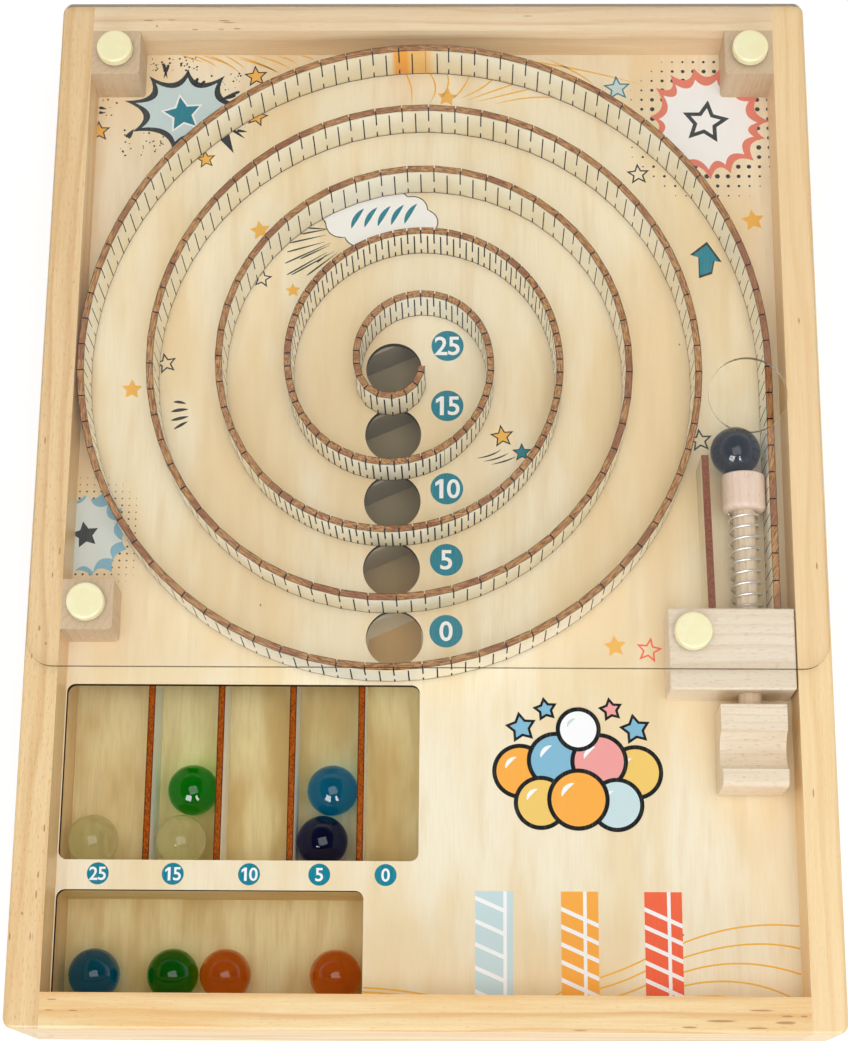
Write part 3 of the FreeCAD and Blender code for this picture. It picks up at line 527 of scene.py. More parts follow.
for number, corner in enumerate(("back_left", "back_right", "front_left")):
    low, high = span(f"post_{corner}")
    CAD_FINISHES[f"post_{corner}"] = sanded_beech(
        f"sanded_beech_post_{corner}", "Z", (low.x - 9 - 4 * number, low.y + 22), "#DCC29E", "#D4BA96")
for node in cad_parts:
    if node.startswith("marble_"):
        CAD_FINISHES[node] = GLASSES[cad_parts[node].data.materials[0].name]
# The marble that waits under the cover in front of the plunger takes a greyer copy of the navy
# glass: painted reflection, standing in for the veil that the cover lays over it.
CAD_FINISHES["marble_launch"] = GLASSES["glass_navy_painted_veil"]
for node, finish in CAD_FINISHES.items():
    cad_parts[node].data.materials[0] = finish


# ---------------------------------------------------------------- making pieces
def piece(name, body, finishes, points, faces, finish_of=None, smooth=False, turned_out=False):
    """A new mesh piece that rides on a body and takes a slot's finish. Its faces are turned
    outwards unless they are already."""
    mesh = bpy.data.meshes.new(name)
    mesh.from_pydata([Vector(point) * MM for point in points], [], faces)
    for finish in finishes:
        mesh.materials.append(finish)
    mesh.polygons.foreach_set("material_index", finish_of or [0] * len(faces))
    mesh.polygons.foreach_set("use_smooth", [smooth] * len(faces))
    shell = bmesh.new()
    shell.from_mesh(mesh)
    bmesh.ops.remove_doubles(shell, verts=shell.verts, dist=1e-6)
    if not turned_out:
        bmesh.ops.recalc_face_normals(shell, faces=shell.faces)
    shell.to_mesh(mesh)
    shell.free()
    made = bpy.data.objects.new(name, mesh)
    SCENE.collection.objects.link(made)
    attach(made, body)
    return made


# ---------------------------------------------------------------- kerfed spiral wall
def spiral_arc(turn):
    """Centre and radius of the half turn that holds an angle in degrees, counted inwards."""
    half_turn = math.floor((turn - SPIRAL_SPLIT) / 180.0)
    side = 1 if half_turn % 2 == 0 else -1
    split = math.radians(SPIRAL_SPLIT)
    shift = Vector((math.cos(split), math.sin(split))) * side * SPIRAL_PITCH / 4
    return SPIRAL_CENTRE + shift, SPIRAL_RADIUS - half_turn * SPIRAL_PITCH / 2


def spiral_point(turn, offset):
    centre, radius = spiral_arc(turn)
    angle = math.radians(turn)
    return centre + Vector((math.cos(angle), math.sin(angle))) * (radius + offset)


def fold_turns(start_turn, end_turn, facet):
    """The angles at which a strip is folded."""
    turns = [start_turn]
    while True:
        step = math.degrees(facet / spiral_arc(turns[-1])[1])
        if turns[-1] + step > end_turn - step / 4:
            return turns + [end_turn]
        turns.append(turns[-1] + step)


def kerfed_strip(number, facet, kerf):
    """A plywood strip on edge whose facets hang together by what the kerfs leave."""
    start_turn, end_turn = BUTTS[number - 1], BUTTS[number]
    first = start_turn + math.degrees(BUTT_GAP / 2 / spiral_arc(start_turn)[1]) * (number > 1)
    last = end_turn - math.degrees(BUTT_GAP / 2 / spiral_arc(end_turn)[1])
    turns = fold_turns(first, last, facet)
    half_wall = WALL_THICKNESS / 2
    sides = [[spiral_point(turn, offset) for turn in turns] for offset in (half_wall, -half_wall)]
    if number == 1:
        low_y = span("spiral_strip_1")[0].y
        count = round((sides[0][0].y - low_y) / facet)
        for side in sides:
            rest = [Vector((side[0].x, low_y + (side[0].y - low_y) * i / count)) for i in range(count)]
            side[:0] = rest
    stations, kinds = [], []
    facets = len(sides[0]) - 1
    for i in range(facets):
        ends = [(side[i], side[i + 1]) for side in sides]
        length = (ends[0][1] - ends[0][0]).length
        half = kerf / 2 / length
        cuts = (0.0, half, 0.5 - half, 0.5 + half, 1.0 - half)
        stations += [[a.lerp(b, share) for a, b in ends] for share in cuts]
        kinds += ["solid" if i == 0 else "fold", "solid", "middle", "solid",
                  "solid" if i == facets - 1 else "fold"]
    stations.append([side[-1] for side in sides])
    levels = (0.0, FOOT_LINE, FOLD_CUT_LOW, FOLD_CUT_HIGH, MIDDLE_CUT_HIGH, 1.0)
    rows, layers = len(levels) - 1, len(DEPTHS) - 1
    plies = [layer for layer in range(layers) if layer != WEB]

    def is_cut(column, row):
        middle = (levels[row] + levels[row + 1]) / 2
        if kinds[column] == "fold":
            return row > 0 and not FOLD_CUT_LOW < middle < FOLD_CUT_HIGH
        return kinds[column] == "middle" and FOOT_LINE < middle < MIDDLE_CUT_HIGH

    def corner(depth, column, level):
        return (column * (rows + 1) + level) * len(DEPTHS) + depth

    points = []
    for outer, inner in stations:
        for level in levels:
            z = FIELD_TOP + (WALL_TOP - FIELD_TOP) * level
            points += [(*outer.lerp(inner, share), z) for share in DEPTHS]
    faces, finish_of = [], []
    for column in range(len(kinds)):
        for row in range(rows):
            cut = is_cut(column, row)
            for depth in ((WEB, WEB + 1) if cut else (0, layers)):
                faces.append([corner(depth, column, row), corner(depth, column + 1, row),
                              corner(depth, column + 1, row + 1), corner(depth, column, row + 1)])
                finish_of.append(CHAR if cut or row == 0 else BIRCH)
            for c, r, a, b in ((column, row - 1, (column, row), (column + 1, row)),
                               (column, row + 1, (column, row + 1), (column + 1, row + 1)),
                               (column - 1, row, (column, row), (column, row + 1)),
                               (column + 1, row, (column + 1, row), (column + 1, row + 1))):
                outside = not (0 <= c < len(kinds) and 0 <= r < rows)
                if outside:
                    open_layers = (WEB,) if cut else range(layers)
                else:
                    open_layers = plies if is_cut(c, r) and not cut else ()
                for layer in open_layers:
                    faces.append([corner(layer, *a), corner(layer, *b), corner(layer + 1, *b),
                                  corner(layer + 1, *a)])
                    plain = outside and not cut and 0 < layer < layers - 1
                    finish_of.append(PLIES if plain else CHAR)
    used = sorted({index for face in faces for index in face})
    renumbered = {old: new for new, old in enumerate(used)}
    faces = [[renumbered[index] for index in face] for face in faces]
    made = piece(f"kerfed_strip_{number}", "board", (face_birch, edge_birch, kerf_char),
                 [points[index] for index in used], faces, finish_of)
    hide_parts(f"spiral_strip_{number}")


for number in range(1, len(BUTTS)):
    if number < FIRST_INNER_STRIP:
        kerfed_strip(number, OUTER_FACET, OUTER_KERF)
    else:
        kerfed_strip(number, INNER_FACET, INNER_KERF)


# ---------------------------------------------------------------- plunger spring
SPRING_TURNS = 9.5
SPRING_WIRE_RADIUS = 0.45
WIRE_SIDES = 10
STEPS_A_TURN = 44
# The end coils rise by this share of what the others do, and open out over so many turns.
CLOSED_RISE = 0.35
CLOSED_TURNS = 1.1


def plunger_spring():
    """A compression spring with its end coils closed. The real one shortens towards the block when
    the handle is pulled; this one is built at one length."""
    low, high = span("plunger_spring")
    wire = SPRING_WIRE_RADIUS
    radius = (high.x - low.x) / 2 - wire
    x, z = (low.x + high.x) / 2, (low.z + high.z) / 2
    count = round(SPRING_TURNS * STEPS_A_TURN)
    rise = []
    for i in range(count + 1):
        turn = min(i, count - i) / STEPS_A_TURN
        rise.append(CLOSED_RISE + (1 - CLOSED_RISE) * min(1.0, turn / CLOSED_TURNS))
    total = sum(rise[1:])
    travel = high.y - low.y - 2 * wire
    y = low.y + wire
    points = []
    for i in range(count + 1):
        if i:
            y += travel * rise[i] / total
        angle = 2 * math.pi * i / STEPS_A_TURN
        out = Vector((math.cos(angle), 0, -math.sin(angle)))
        centre = Vector((x, y, z)) + out * radius
        for side in range(WIRE_SIDES):
            round_wire = 2 * math.pi * side / WIRE_SIDES
            way = out * math.cos(round_wire) + Vector((0, 1, 0)) * math.sin(round_wire)
            points.append(centre + way * wire)
    faces = []
    for i in range(count):
        for side in range(WIRE_SIDES):
            a, b = i * WIRE_SIDES + side, i * WIRE_SIDES + (side + 1) % WIRE_SIDES
            faces.append([a, b, b + WIRE_SIDES, a + WIRE_SIDES])
    faces.append(list(range(WIRE_SIDES)))
    faces.append([count * WIRE_SIDES + side for side in range(WIRE_SIDES)])
    made = piece("coil_spring", "board", (spring_steel,), points, faces, smooth=True)
    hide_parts("plunger_spring")
    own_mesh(made)


plunger_spring()


# ---------------------------------------------------------------- clear cover
COVER_LIFT = 0.05


def cover_sheet():
    """The acrylic sheet, with its cut edges as a finish of their own. Its underside is a breath
    above the rails, so that the two faces don't fall together."""
    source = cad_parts["clear_cover"].data
    points = [vertex.co / MM for vertex in source.vertices]
    for point in points:
        point.z = max(point.z, COVER_LOW + COVER_LIFT)
    faces = [list(polygon.vertices) for polygon in source.polygons]
    finish_of = [0 if abs(polygon.normal.z) > LYING else 1 for polygon in source.polygons]
    made = piece("cover_sheet", "board", (sheet_acrylic, edge_acrylic), points, faces,
                 finish_of, turned_out=True)
    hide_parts("clear_cover")


cover_sheet()

# ---------------------------------------------------------------- printed ornaments
INK = {name: printing_ink(f"printing_ink_{name}", code) for name, code in (
    ("teal", "#028499"), ("sky", "#CCE2E4"), ("pale_blue", "#DDE9E8"), ("blue", "#86BDD6"),
    ("orange", "#FFB24C"), ("red", "#F86C48"), ("coral", "#E9836C"),
    ("white", "#FCFDFC"), ("dark", "#262F34"), ("black", "#181D20"), ("green", "#2A4438"),
    ("pink", "#F4A5A0"), ("yellow", "#F6CE70"), ("gold", "#F6BC50"), ("line", "#F4BA46"))}
# An ink's first layer, what each next layer adds, and how far a print's foot sinks in.
FIRST_LAYER = 0.02
LAYER = 0.008
SUNK = 0.02
FIELD_LOW = (-127.9, -177.9)
FIELD_HIGH = (127.9, 178.9)
SMALLEST_DOT = 0.12
# Of Blender's own numerals: their height as a share of the font's size, and how much bolder they
# are made as a share of their height.
NUMERAL_SHARE = 0.72
BOLDER = 0.022


def trimmed(loop, low=FIELD_LOW, high=FIELD_HIGH):
    """What is left of an outline inside a rectangle."""
    for axis in (0, 1):
        for bound, sign in ((low[axis], 1), (high[axis], -1)):
            kept = []
            for i, here in enumerate(loop):
                before = loop[i - 1]
                inside, was_inside = (sign * (p[axis] - bound) >= 0 for p in (here, before))
                if inside != was_inside:
                    share = (bound - before[axis]) / (here[axis] - before[axis])
                    kept.append(tuple(b + (h - b) * share for b, h in zip(before, here)))
                if inside:
                    kept.append(tuple(here))
            loop = kept
    return loop


def prism(shape, low, high):
    """Points and faces of a thin closed piece: its outline first, then any holes in it."""
    loops = [[Vector((x, y, 0)) for x, y in loop] for loop in shape]
    flat = [point for loop in loops for point in loop]
    count = len(flat)
    points = [(point.x, point.y, z) for z in (low, high) for point in flat]
    faces = []
    for triangle in tessellate_polygon(loops):
        faces.append(list(triangle))
        faces.append([count + index for index in triangle])
    start = 0
    for loop in loops:
        for i in range(len(loop)):
            a, b = start + i, start + (i + 1) % len(loop)
            faces.append([a, b, count + b, count + a])
        start += len(loop)
    return points, faces


def printed(name, *layers):
    """One printed motif. Each layer is an ink, its height in the stack and its shapes; a later
    ink covers an earlier one. A shape is a list of outlines, or a function that gives points and
    faces between two heights."""
    points, faces, finish_of, inks = [], [], [], []
    for ink, level, shapes in layers:
        if ink not in inks:
            inks.append(ink)
        for shape in shapes:
            high = FIELD_TOP + FIRST_LAYER + level * LAYER
            if callable(shape):
                more, sides = shape(FIELD_TOP - SUNK, high)
            else:
                shape = [trimmed(loop) for loop in shape]
                shape = [loop for loop in shape if len(loop) > 2]
                if not shape:
                    continue
                more, sides = prism(shape, FIELD_TOP - SUNK, high)
            faces += [[len(points) + index for index in side] for side in sides]
            finish_of += [inks.index(ink)] * len(sides)
            points += more
    return piece(name, "board", [INK[ink] for ink in inks], points, faces, finish_of)


def disc(x, y, radius, steps=28):
    angles = [2 * math.pi * i / steps for i in range(steps)]
    return [(x + radius * math.cos(a), y + radius * math.sin(a)) for a in angles]


def star(x, y, radius, turn=0.0, waist=0.45):
    loop = []
    for i in range(10):
        angle = math.radians(90 + turn + 36 * i)
        reach = radius * (waist if i % 2 else 1.0)
        loop.append((x + reach * math.cos(angle), y + reach * math.sin(angle)))
    return loop


def bend(a, control, b, steps=8):
    """Points on a curve from a to b that leans towards the control point, without b."""
    points = []
    for i in range(steps):
        t = i / steps
        shares = ((1 - t) ** 2, 2 * t * (1 - t), t * t)
        points.append(tuple(sum(s * v for s, v in zip(shares, ends)) for ends in zip(a, control, b)))
    return points


def burst(x, y, half_x, half_y, spikes, turn, waist=0.45, seed=1, unrest=0.18):
    """A star-shaped flash with hollow sides between its spikes."""
    draw = random.Random(seed)
    reaches = [1.0 - unrest * draw.random() for spike in range(spikes)]
    angles = [math.radians(turn + 360 / spikes * (i + 0.35 * (draw.random() - 0.5))) for i in range(spikes)]
    tips = [(x + half_x * r * math.cos(a), y + half_y * r * math.sin(a)) for r, a in zip(reaches, angles)]
    loop = []
    for i in range(spikes):
        after = (i + 1) % spikes
        middle = (angles[i] + angles[after] + (2 * math.pi if after == 0 else 0)) / 2
        control = (x + half_x * waist * math.cos(middle), y + half_y * waist * math.sin(middle))
        loop += bend(tips[i], control, tips[after])
    return loop


def puffs(x, y, circles, grow=0.0, steps=120):
    """The outline round overlapping circles, seen from the middle."""
    loop = []
    for i in range(steps):
        angle = 2 * math.pi * i / steps
        way = Vector((math.cos(angle), math.sin(angle)))
        far = 0.0
        for cx, cy, radius in circles:
            to_centre = Vector((cx, cy))
            along = to_centre.dot(way)
            gap = to_centre.length_squared - along * along
            if gap < (radius + grow) ** 2:
                far = max(far, along + math.sqrt((radius + grow) ** 2 - gap))
        loop.append((x + way.x * far, y + way.y * far))
    return loop


def stroke(points, width, taper=False):
    """The outline of a pen line through points. A tapered one comes to a point at its ends."""
    left, right = [], []
    last = len(points) - 1
    for i, point in enumerate(points):
        here = Vector(point)
        along = Vector(points[min(i + 1, last)]) - Vector(points[max(i - 1, 0)])
        across = Vector((-along.y, along.x)).normalized()
        share = i / last
        half = width / 2 * (max(0.12, math.sin(math.pi * share) ** 0.7) if taper else 1.0)
        left.append(tuple(here + across * half))
        right.append(tuple(here - across * half))
    return left + right[::-1]


def line(a, control, b, width, taper=False):
    return [stroke(bend(a, control, b, 12) + [b], width, taper)]


def dots(low, high, pitch, radius, keep):
    """A halftone field: dots on a grid, sized by where they are."""
    shapes = []
    rows = round((high[1] - low[1]) / pitch)
    columns = round((high[0] - low[0]) / pitch)
    for row in range(rows + 1):
        for column in range(columns + 1):
            x, y = low[0] + column * pitch, low[1] + row * pitch
            size = radius * keep(x, y)
            if size > SMALLEST_DOT:
                shapes.append([disc(x, y, size, 10)])
    return shapes


# The outline of a 1, in shares of its height.
ONE = ((-0.04, -0.5), (0.16, -0.5), (0.16, 0.5), (0.0, 0.5), (-0.24, 0.33), (-0.24, 0.13), (-0.04, 0.26))


def numeral(digit, x, y, height):
    """A digit as a thin closed piece: the 1 is drawn here, the others are Blender's own."""
    if digit == "1":
        return [[(x + dx * height, y + dy * height) for dx, dy in ONE]]

    def solid(low, high):
        data = bpy.data.curves.new("numeral", "FONT")
        data.body = digit
        data.align_x = "CENTER"
        data.size = height / NUMERAL_SHARE
        data.offset = height * BOLDER
        data.extrude = (high - low) / 2
        data.resolution_u = 5
        source = bpy.data.objects.new("numeral", data)
        SCENE.collection.objects.link(source)
        bpy.context.view_layer.update()
        mesh = bpy.data.meshes.new_from_object(source.evaluated_get(bpy.context.evaluated_depsgraph_get()))
        reach = [vertex.co.y for vertex in mesh.vertices]
        scale = height / (max(reach) - min(reach))
        drop = (max(reach) + min(reach)) / 2
        middle = (low + high) / 2
        points = [(x + v.co.x * scale, y + (v.co.y - drop) * scale, middle + v.co.z) for v in mesh.vertices]
        faces = [list(polygon.vertices) for polygon in mesh.polygons]
        bpy.data.objects.remove(source)
        bpy.data.curves.remove(data)
        bpy.data.meshes.remove(mesh)
        return points, faces
    return solid


def digits(text, x, y, height):
    """The digits of a number side by side."""
    pitch = height * 0.66
    left = x - pitch * (len(text) - 1) / 2
    return [numeral(digit, left + pitch * place, y, height) for place, digit in enumerate(text)]


# Scoring numbers: beside the holes, and on the bar under the score tray.
HOLE_NUMBERS_X = 6.4
HOLE_NUMBERS = (("25", 59.3), ("15", 35.8), ("10", 3.9), ("5", -22.9), ("0", -49.3))
LANE_NUMBERS_Y = -136.0
LANE_NUMBERS = (("25", -113.6), ("15", -87.6), ("10", -61.2), ("5", -36.9), ("0", -14.0))
for text, y in HOLE_NUMBERS:
    printed(f"hole_number_{text}", ("teal", 0, [[disc(HOLE_NUMBERS_X, y, 5.95, 48)]]),
            ("white", 1, digits(text, HOLE_NUMBERS_X, y, 7.3)))
for text, x in LANE_NUMBERS:
    printed(f"lane_number_{text}", ("teal", 0, [[disc(x, LANE_NUMBERS_Y, 3.8, 40)]]),
            ("white", 1, digits(text, x, LANE_NUMBERS_Y, 4.6)))

# Stars: filled with an outline, filled without one, or an outline alone. Each by its middle,
# radius, turn and inks.
OUTLINED_STARS = ((-67.8, 169.9, 4.8, 6, "gold", "black"), (-67.0, 152.9, 4.6, -12, "gold", "black"),
                  (-85.9, 134.9, 4.0, 8, "gold", "black"), (-127.2, 146.6, 4.6, 4, "gold", "black"),
                  (26.5, 24.0, 4.6, 8, "gold", "black"), (33.7, 17.8, 3.8, 2, "teal", "black"),
                  (70.7, 164.8, 5.5, 4, "sky", "teal"))
PLAIN_STARS = ((-109.8, 41.9, 4.0, 0), (-64.4, 105.6, 4.0, 10), (-51.4, 81.3, 2.9, 4), (66.4, -54.6, 4.1, 6),
               (120.8, 109.9, 4.5, 8), (5.7, 161.0, 4.0, -6))
LINE_STARS = ((-97.7, 52.1, 4.4, 14, "dark"), (-63.1, 86.1, 4.0, -6, "dark"), (78.4, -56.0, 4.9, -10, "red"),
              (98.6, 22.6, 4.8, 6, "green"), (78.1, 128.8, 4.6, 4, "dark"))
printed("outlined_stars", *[
    layer for x, y, radius, turn, fill, edge in OUTLINED_STARS
    for layer in ((edge, 0, [[star(x, y, radius, turn)]]), (fill, 1, [[star(x, y, radius * 0.74, turn)]]))])
printed("plain_stars", ("gold", 0, [[star(x, y, radius, turn, 0.5)] for x, y, radius, turn in PLAIN_STARS]))
printed("line_stars", *[(ink, 0, [[star(x, y, radius, turn), star(x, y, radius * 0.68, turn)]])
                        for x, y, radius, turn, ink in LINE_STARS])

# Flash at the back left corner: pale blue in a dark outline, with a spray of dots.
x, y = -94.5, 155.0
printed("flash_back_left",
        ("dark", 0, [[burst(x, y, 24.5, 19.5, 9, 12, 0.42, 4)]]),
        ("sky", 1, [[burst(x, y, 20.0, 15.6, 9, 12, 0.46, 4)]]),
        ("white", 2, [[star(x - 1, y - 1, 8.6, 10, 0.5)]]),
        ("teal", 3, [[star(x - 1, y - 1, 7.2, 10, 0.48)]]),
        ("dark", 0, [[((-82.0, 144.5), (-77.5, 146.2), (-75.3, 137.4))]] + [
            line(a, a, b, 1.2, True) for a, b in (
                ((-103.8, 175.5), (-102.0, 169.2)), ((-101.7, 175.0), (-103.3, 169.2)),
                ((-90.2, 169.2), (-91.8, 165.2)), ((-87.4, 168.0), (-89.9, 165.2)),
                ((-73.9, 163.5), (-80.5, 160.6)), ((-75.3, 161.8), (-81.8, 159.7)),
                ((-127.7, 156.7), (-124.8, 156.1)), ((-127.6, 154.6), (-125.5, 154.4)),
                ((-116.8, 144.2), (-113.9, 147.6)), ((-115.8, 143.7), (-114.1, 146.6)),
                ((-76.5, 147.6), (-71.3, 143.7)), ((-74.4, 147.0), (-70.6, 146.5)))]))
draw = random.Random(7)
spray = []
for cx, cy, spread_x, spread_y, count in ((-98.5, 175.2, 10.5, 3.0, 40), (-80.0, 167.6, 6.5, 3.6, 26),
                                          (-111, 142.5, 9, 6, 36), (-124.3, 156.7, 3.4, 3.4, 8)):
    for dot in range(count):
        x, y = cx + draw.uniform(-1, 1) * spread_x, cy + draw.uniform(-1, 1) * spread_y
        spray.append([disc(x, y, draw.uniform(0.18, 0.45), 9)])
printed("spray_back_left", ("dark", 0, spray))

# Flash at the back right corner: white between coral petals, over a halftone field.
x, y = 105.0, 150.5
printed("flash_back_right",
        ("coral", 1, [[burst(x, y, 24.0, 25.0, 15, 4, 0.62, 3, 0.1)]]),
        ("white", 2, [[burst(x - 0.5, y - 0.5, 19.8, 20.2, 15, 4, 0.66, 3, 0.1)]]),
        ("dark", 3, [[star(x - 1, y, 9.4, -8, 0.5)]]),
        ("white", 4, [[star(x - 1, y, 6.0, -8, 0.5)]]))
printed("halftone_back_right", ("dark", 0, dots(
    (72, 120), (127, 176), 4.0, 0.85,
    lambda x, y: max(0.0, 1.15 - abs(math.hypot(x - 105, y - 149) - 21) / 12) if x + y > 208 else 0.0)))

# Half flash at the left rail: blue over dots.
printed("flash_left",
        ("blue", 1, [[burst(-124, -14, 17, 17.5, 12, 8, 0.66, 9, 0.16)]]),
        ("pale_blue", 2, [[burst(-125, -14, 15.0, 15.8, 12, 23, 0.58, 2, 0.1)]]),
        ("dark", 3, [[star(-124.2, -14, 5.2, 12, 0.5)]]),
        ("dark", 0, dots((-127, -34), (-107, 7), 2.6, 0.36,
                         lambda x, y: 1.2 - abs(math.hypot(x + 124, y + 14) - 14) / 11)))

# Cloud of dust with speed lines behind it. Its puffs are circles, placed from its middle.
CLOUD = ((-15, -2, 5.5), (-10, 4, 5.6), (-3, 5.4, 6.2), (5, 5.2, 6.0), (12, 3.5, 5.4), (16.5, -1.5, 4.8),
         (-8, -5.6, 5.6), (1, -6, 6.0), (9.5, -5.2, 5.6), (-19, 1.5, 3.2))
printed("dust_cloud",
        ("dark", 1, [[puffs(-19.0, 110.5, CLOUD, 0.38)]]),
        ("white", 2, [[puffs(-19.0, 110.5, CLOUD)]]),
        ("teal", 3, [line((-30 + 5 * i, 106.5 + 0.5 * i), (-29 + 5 * i, 111 + 0.5 * i),
                          (-25.5 + 5 * i, 114.5 + 0.5 * i), 1.9, True) for i in range(5)]))
SPEED_LINES = (
    ((-46.4, 106.6), (-39.1, 106.2)), ((-49.0, 104.1), (-37.8, 106.4)), ((-53.2, 100.5), (-39.4, 103.8)),
    ((-54.0, 96.8), (-39.8, 101.0)), ((-54.7, 92.2), (-37.7, 100.6)), ((-49.1, 94.0), (-38.1, 99.6)),
    ((-53.9, 87.5), (-38.9, 96.8)), ((-52.2, 87.5), (-36.3, 97.1)), ((-46.4, 87.3), (-35.0, 96.6)),
    ((-42.7, 92.6), (-38.9, 95.9)))
printed("speed_lines", ("green", 0, [line(a, a, b, 0.62, True) for a, b in SPEED_LINES]))

# Short strokes: beside the two stars, and a fan of dashes at the left.
printed("star_trails", ("dark", 0, [line((17.2 + 2.6 * i, 15.6 - 1.2 * i), (22.6 + 2.6 * i, 16.2 - 1.0 * i),
                                         (26.2 + 2.6 * i, 19.0 - 1.4 * i), 0.55, True) for i in range(3)]))
printed("dash_fan", ("dark", 0, [line((-94.3, 37.0), (-92.5, 37.3), (-89.6, 36.4), 1.1, True),
                                 line((-95.0, 33.2), (-92.5, 34.0), (-88.8, 34.2), 1.3, True),
                                 line((-95.0, 29.8), (-92.0, 30.6), (-88.6, 31.4), 1.2, True),
                                 line((-93.8, 26.4), (-91.2, 28.2), (-88.8, 29.4), 1.1, True)]))

# Arrow that shows which way the marble goes.
ARROW = ((99.9, 86.4), (104.9, 88.2), (106.0, 93.6), (108.7, 92.9), (103.3, 101.2), (96.8, 95.9),
         (99.9, 95.1))
MIDDLE = Vector((102.6, 93.4))
FILLED_ARROW = [tuple(MIDDLE.lerp(Vector(point), 0.84)) for point in ARROW]
printed("lane_arrow", ("dark", 0, [[ARROW]]), ("teal", 1, [[FILLED_ARROW]]))

# Contour lines and waves, each by its start, what it leans towards, and its end.
CONTOURS = (
    ((-14.2, 176.5), (-6.5, 168.5), (-8.0, 157.5)), ((-3.6, 174.0), (4.5, 166.5), (-1.0, 158.5)),
    ((4.5, 173.6), (8.5, 166.5), (3.0, 160.5)), ((14.8, 172.8), (13.0, 164.5), (7.4, 160.2)),
    ((25.5, 172.5), (22.5, 165.5), (10.6, 160.5)), ((35.5, 168.0), (27.5, 165.5), (13.5, 159.8)),
    ((43.5, 166.3), (33.5, 163.5), (17.0, 159.2)), ((52.7, 159.9), (40.5, 163.0), (24.0, 158.2)),
    ((24.5, 178.0), (50.0, 175.5), (80.0, 166.5)), ((33.0, 177.8), (52.0, 172.5), (66.0, 163.0)),
    ((43.0, 177.8), (56.0, 172.0), (62.0, 166.2)),
    ((-92.4, 178.8), (-88.0, 177.4), (-82.9, 174.1)), ((-88.8, 178.8), (-84.0, 177.6), (-79.0, 175.1)),
    ((-85.9, 178.8), (-79.0, 176.0), (-73.9, 171.3)), ((-80.2, 178.8), (-76.0, 176.8), (-72.2, 173.3)),
    ((-76.2, 178.8), (-66.0, 175.8), (-58.9, 171.3)), ((-68.4, 178.8), (-60.0, 176.8), (-55.0, 173.3)),
    ((-60.2, 178.8), (-55.0, 177.6), (-52.6, 175.5)), ((-51.2, 178.8), (-48.0, 178.4), (-45.5, 177.0)),
    ((-76.0, 177.8), (-65.0, 175.0), (-59.5, 171.6)), ((-97.0, 178.8), (-93.0, 177.9), (-88.5, 175.9)))
WAVES = (
    ((87.9, -158.6), (107.4, -150.6), (127.8, -152.6)), ((87.9, -163.5), (110.5, -156.0), (127.8, -160.2)),
    ((87.9, -168.4), (107.5, -162.0), (127.8, -168.9)), ((87.9, -172.9), (108.5, -168.2), (126.0, -177.5)),
    ((87.9, -177.0), (98.0, -175.6), (106.5, -177.2)), ((59.3, -170.4), (67.0, -168.0), (75.0, -164.0)),
    ((59.3, -174.0), (67.0, -172.0), (75.0, -168.0)), ((62.0, -177.4), (68.0, -176.0), (75.0, -172.8)),
    ((41.0, -177.4), (44.0, -176.8), (46.4, -175.2)), ((-21.2, -174.3), (-8.6, -174.6), (6.5, -177.6)),
    ((-21.2, -175.7), (-12.0, -176.0), (-1.8, -177.6)))
printed("contour_lines", ("line", 0, [line(*points, 0.62, True) for points in CONTOURS]))
printed("wave_lines", ("line", 0, [line(*points, 0.55) for points in WAVES]))

# Striped bars along the front: name, ink, left and right side, an upright line, the pitch of the
# stripes, how many pitches down the first one is, and how far to the right they reach.
BAR_LOW, BAR_HIGH = -177.8, -141.3
BARS = (("bar_blue", "sky", 16.9, 29.9, 27.2, 7.9, 0.0, 26.8),
        ("bar_orange", "orange", 46.4, 59.2, 54.6, 6.0, 0.6, 59.2),
        ("bar_red", "red", 75.0, 87.9, 83.4, 6.0, 0.6, 87.9))
for name, ink, left, right, rule, pitch, first, reach in BARS:
    stripes = []
    for i in range(8):
        top = BAR_HIGH - 1.5 - (i + first) * pitch
        slant = [(left - 1, top + 0.4), (right + 1, top - 6.2), (right + 1, top - 7.7), (left - 1, top - 1.1)]
        slant = trimmed(slant, (left, BAR_LOW), (reach, BAR_HIGH))
        if len(slant) > 2:
            stripes.append([slant])
    bar = [(left, BAR_LOW), (right, BAR_LOW), (right, BAR_HIGH), (left, BAR_HIGH)]
    upright = [(rule - 0.6, BAR_LOW), (rule + 0.6, BAR_LOW), (rule + 0.6, BAR_HIGH), (rule - 0.6, BAR_HIGH)]
    printed(name, (ink, 1, [[bar]]), ("white", 2, stripes), ("white", 3, [[upright]]))

# Emblem: a heap of marbles under stars. Later marbles lie over earlier ones.
HEAP = ((32.5, -99.5, 8.2, "orange"), (72.8, -99.8, 8.2, "yellow"), (45.0, -95.6, 8.6, "blue"),
        (60.2, -96.0, 8.6, "pink"), (39.8, -110.6, 8.0, "yellow"), (66.2, -111.2, 8.0, "sky"),
        (52.8, -109.4, 9.4, "orange"), (53.0, -84.6, 6.4, "white"))
layers = []
for i, (x, y, radius, ink) in enumerate(HEAP):
    layers.append(("black", 3 * i, [[disc(x, y, radius + 1.5, 48)]]))
    layers.append((ink, 3 * i + 1, [[disc(x, y, radius, 48)]]))
    shine = [(x + radius * 0.62 * math.cos(math.radians(a)), y + radius * 0.62 * math.sin(math.radians(a)))
             for a in range(105, 171, 8)]
    layers.append(("sky" if ink == "white" else "white", 3 * i + 2, [[stroke(shine, radius * 0.17, True)]]))
for x, y, radius, ink in ((33.0, -84.0, 4.0, "blue"), (41.5, -77.5, 2.8, "blue"), (64.5, -77.5, 2.8, "pink"),
                          (73.0, -84.5, 4.0, "blue")):
    layers.append(("black", 0, [[star(x, y, radius + 1.8, 10, 0.55)]]))
    layers.append((ink, 1, [[star(x, y, radius, 10, 0.55)]]))
printed("marble_emblem", *layers)


# ---------------------------------------------------------------- floor, light and world
FLOOR_WIDTH = 8.0
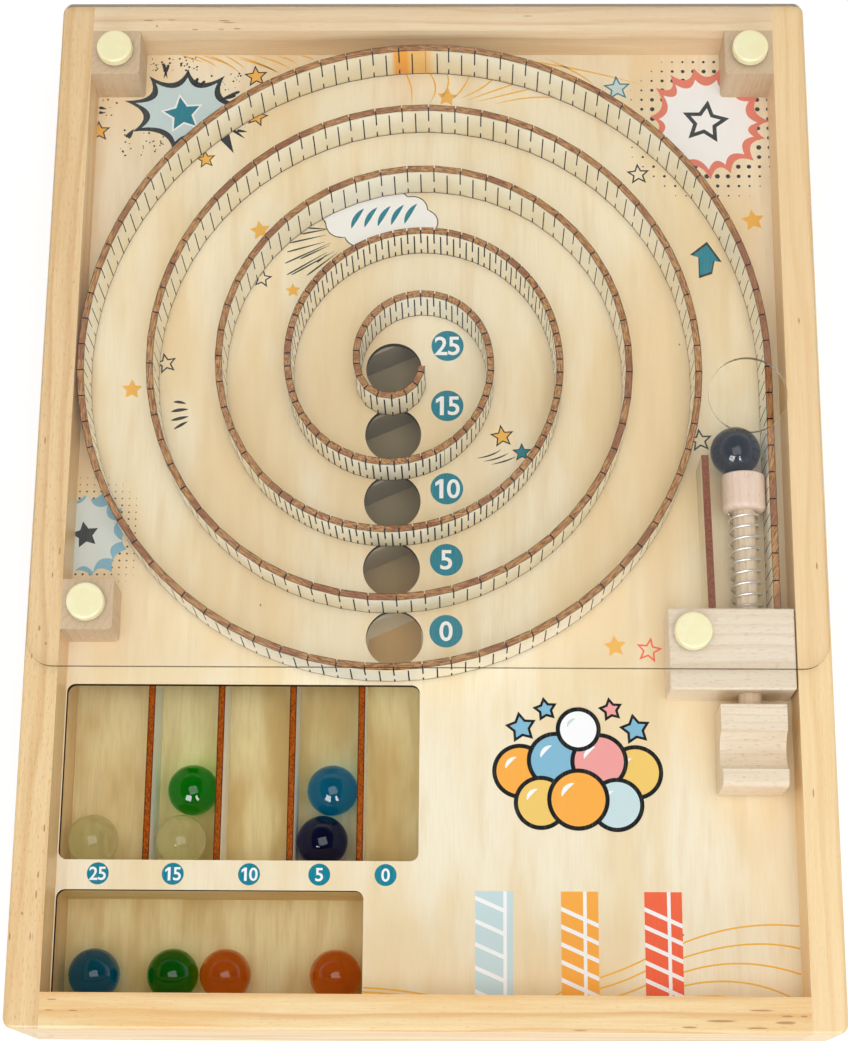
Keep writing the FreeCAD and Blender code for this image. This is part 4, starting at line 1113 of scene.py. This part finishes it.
# Lamps: name, place, width and height in metres, watts and colour.
LAMPS = (("window_left", (-0.50, -1.30, 1.16), 0.7, 0.8, 22.0, "#FFFFFF"),
         ("window_right", (0.56, -1.28, 1.06), 0.32, 0.7, 8.8, "#FFFFFF"),
         ("panel", (0.1, -0.35, 1.7), 1.2, 1.1, 10.0, "#FFFFFF"),
         ("front_card", (0.1, -1.7, 0.7), 1.4, 1.0, 12.0, "#DCEBFF"))


def kinds_of_ray(tree):
    """The ways a ray can come, and which rays come by a mirror or through glass."""
    rays = add(tree, "LightPath").outputs
    return rays, add(tree, "Math", {0: rays["Is Glossy Ray"], 1: rays["Is Transmission Ray"]},
                     operation="MAXIMUM")


def studio():
    """A white floor under a white sky, a panel above, a card in front, and two windows that show
    only in what is glossy."""
    mesh = bpy.data.meshes.new("studio_floor")
    half = FLOOR_WIDTH / 2
    corners = [(-half, -half, 0), (half, -half, 0), (half, half, 0), (-half, half, 0)]
    mesh.from_pydata(corners, [], [(0, 1, 2, 3)])
    floor = bpy.data.objects.new("studio_floor", mesh)
    SCENE.collection.objects.link(floor)
    made, tree = start_material("matt_white_floor")
    rays, clear = kinds_of_ray(tree)
    seen = add(tree, "Math", {0: rays["Is Camera Ray"], 1: clear}, operation="MAXIMUM")
    matt = add(tree, "BsdfDiffuse", {"Color": "#E8E8E8"})
    faint = add(tree, "BsdfDiffuse", {"Color": "#A0A0A0"})
    glow = add(tree, "Emission", {"Color": "#FFFFFF", "Strength": 0.72})
    white = add(tree, "AddShader", {0: faint, 1: glow})
    add(tree, "OutputMaterial", {"Surface": add(tree, "MixShader", {0: seen, 1: matt, 2: white})})
    mesh.materials.append(made)

    world = bpy.data.worlds.new("studio_world")
    world.use_nodes = True
    world.node_tree.nodes.clear()
    tree = world.node_tree
    rays, clear = kinds_of_ray(tree)
    height = add(tree, "SeparateXYZ", {0: add(tree, "TexCoord").outputs["Generated"]}).outputs["Z"]
    ceiling = add(tree, "MapRange", {0: height, 1: 0.25, 2: 0.6, 3: 1.0, 4: 0.05})
    soft = add(tree, "Background", {"Color": "#FFFFFF", "Strength": 0.6})
    room = add(tree, "Background", {"Color": "#FFFFFF", "Strength": ceiling})
    white = add(tree, "Background", {"Color": "#FFFFFF", "Strength": 1.0})
    lit = add(tree, "MixShader", {0: clear, 1: soft, 2: room})
    whole = add(tree, "MixShader", {0: rays["Is Camera Ray"], 1: lit, 2: white})
    add(tree, "OutputWorld", {"Surface": whole})
    SCENE.world = world

    for name, place, wide, high, power, shade in LAMPS:
        data = bpy.data.lights.new(name, "AREA")
        data.shape = "RECTANGLE"
        data.size = wide
        data.size_y = high
        data.energy = power
        data.color = linear(shade)[:3]
        lamp = bpy.data.objects.new(name, data)
        lamp.location = place
        lamp.rotation_euler = Vector(place).to_track_quat("Z", "Y").to_euler()
        lamp.visible_glossy = name != "front_card"
        lamp.visible_diffuse = "window" not in name
        lamp.visible_transmission = False
        SCENE.collection.objects.link(lamp)


studio()
SCENE.view_settings.view_transform = "Standard"
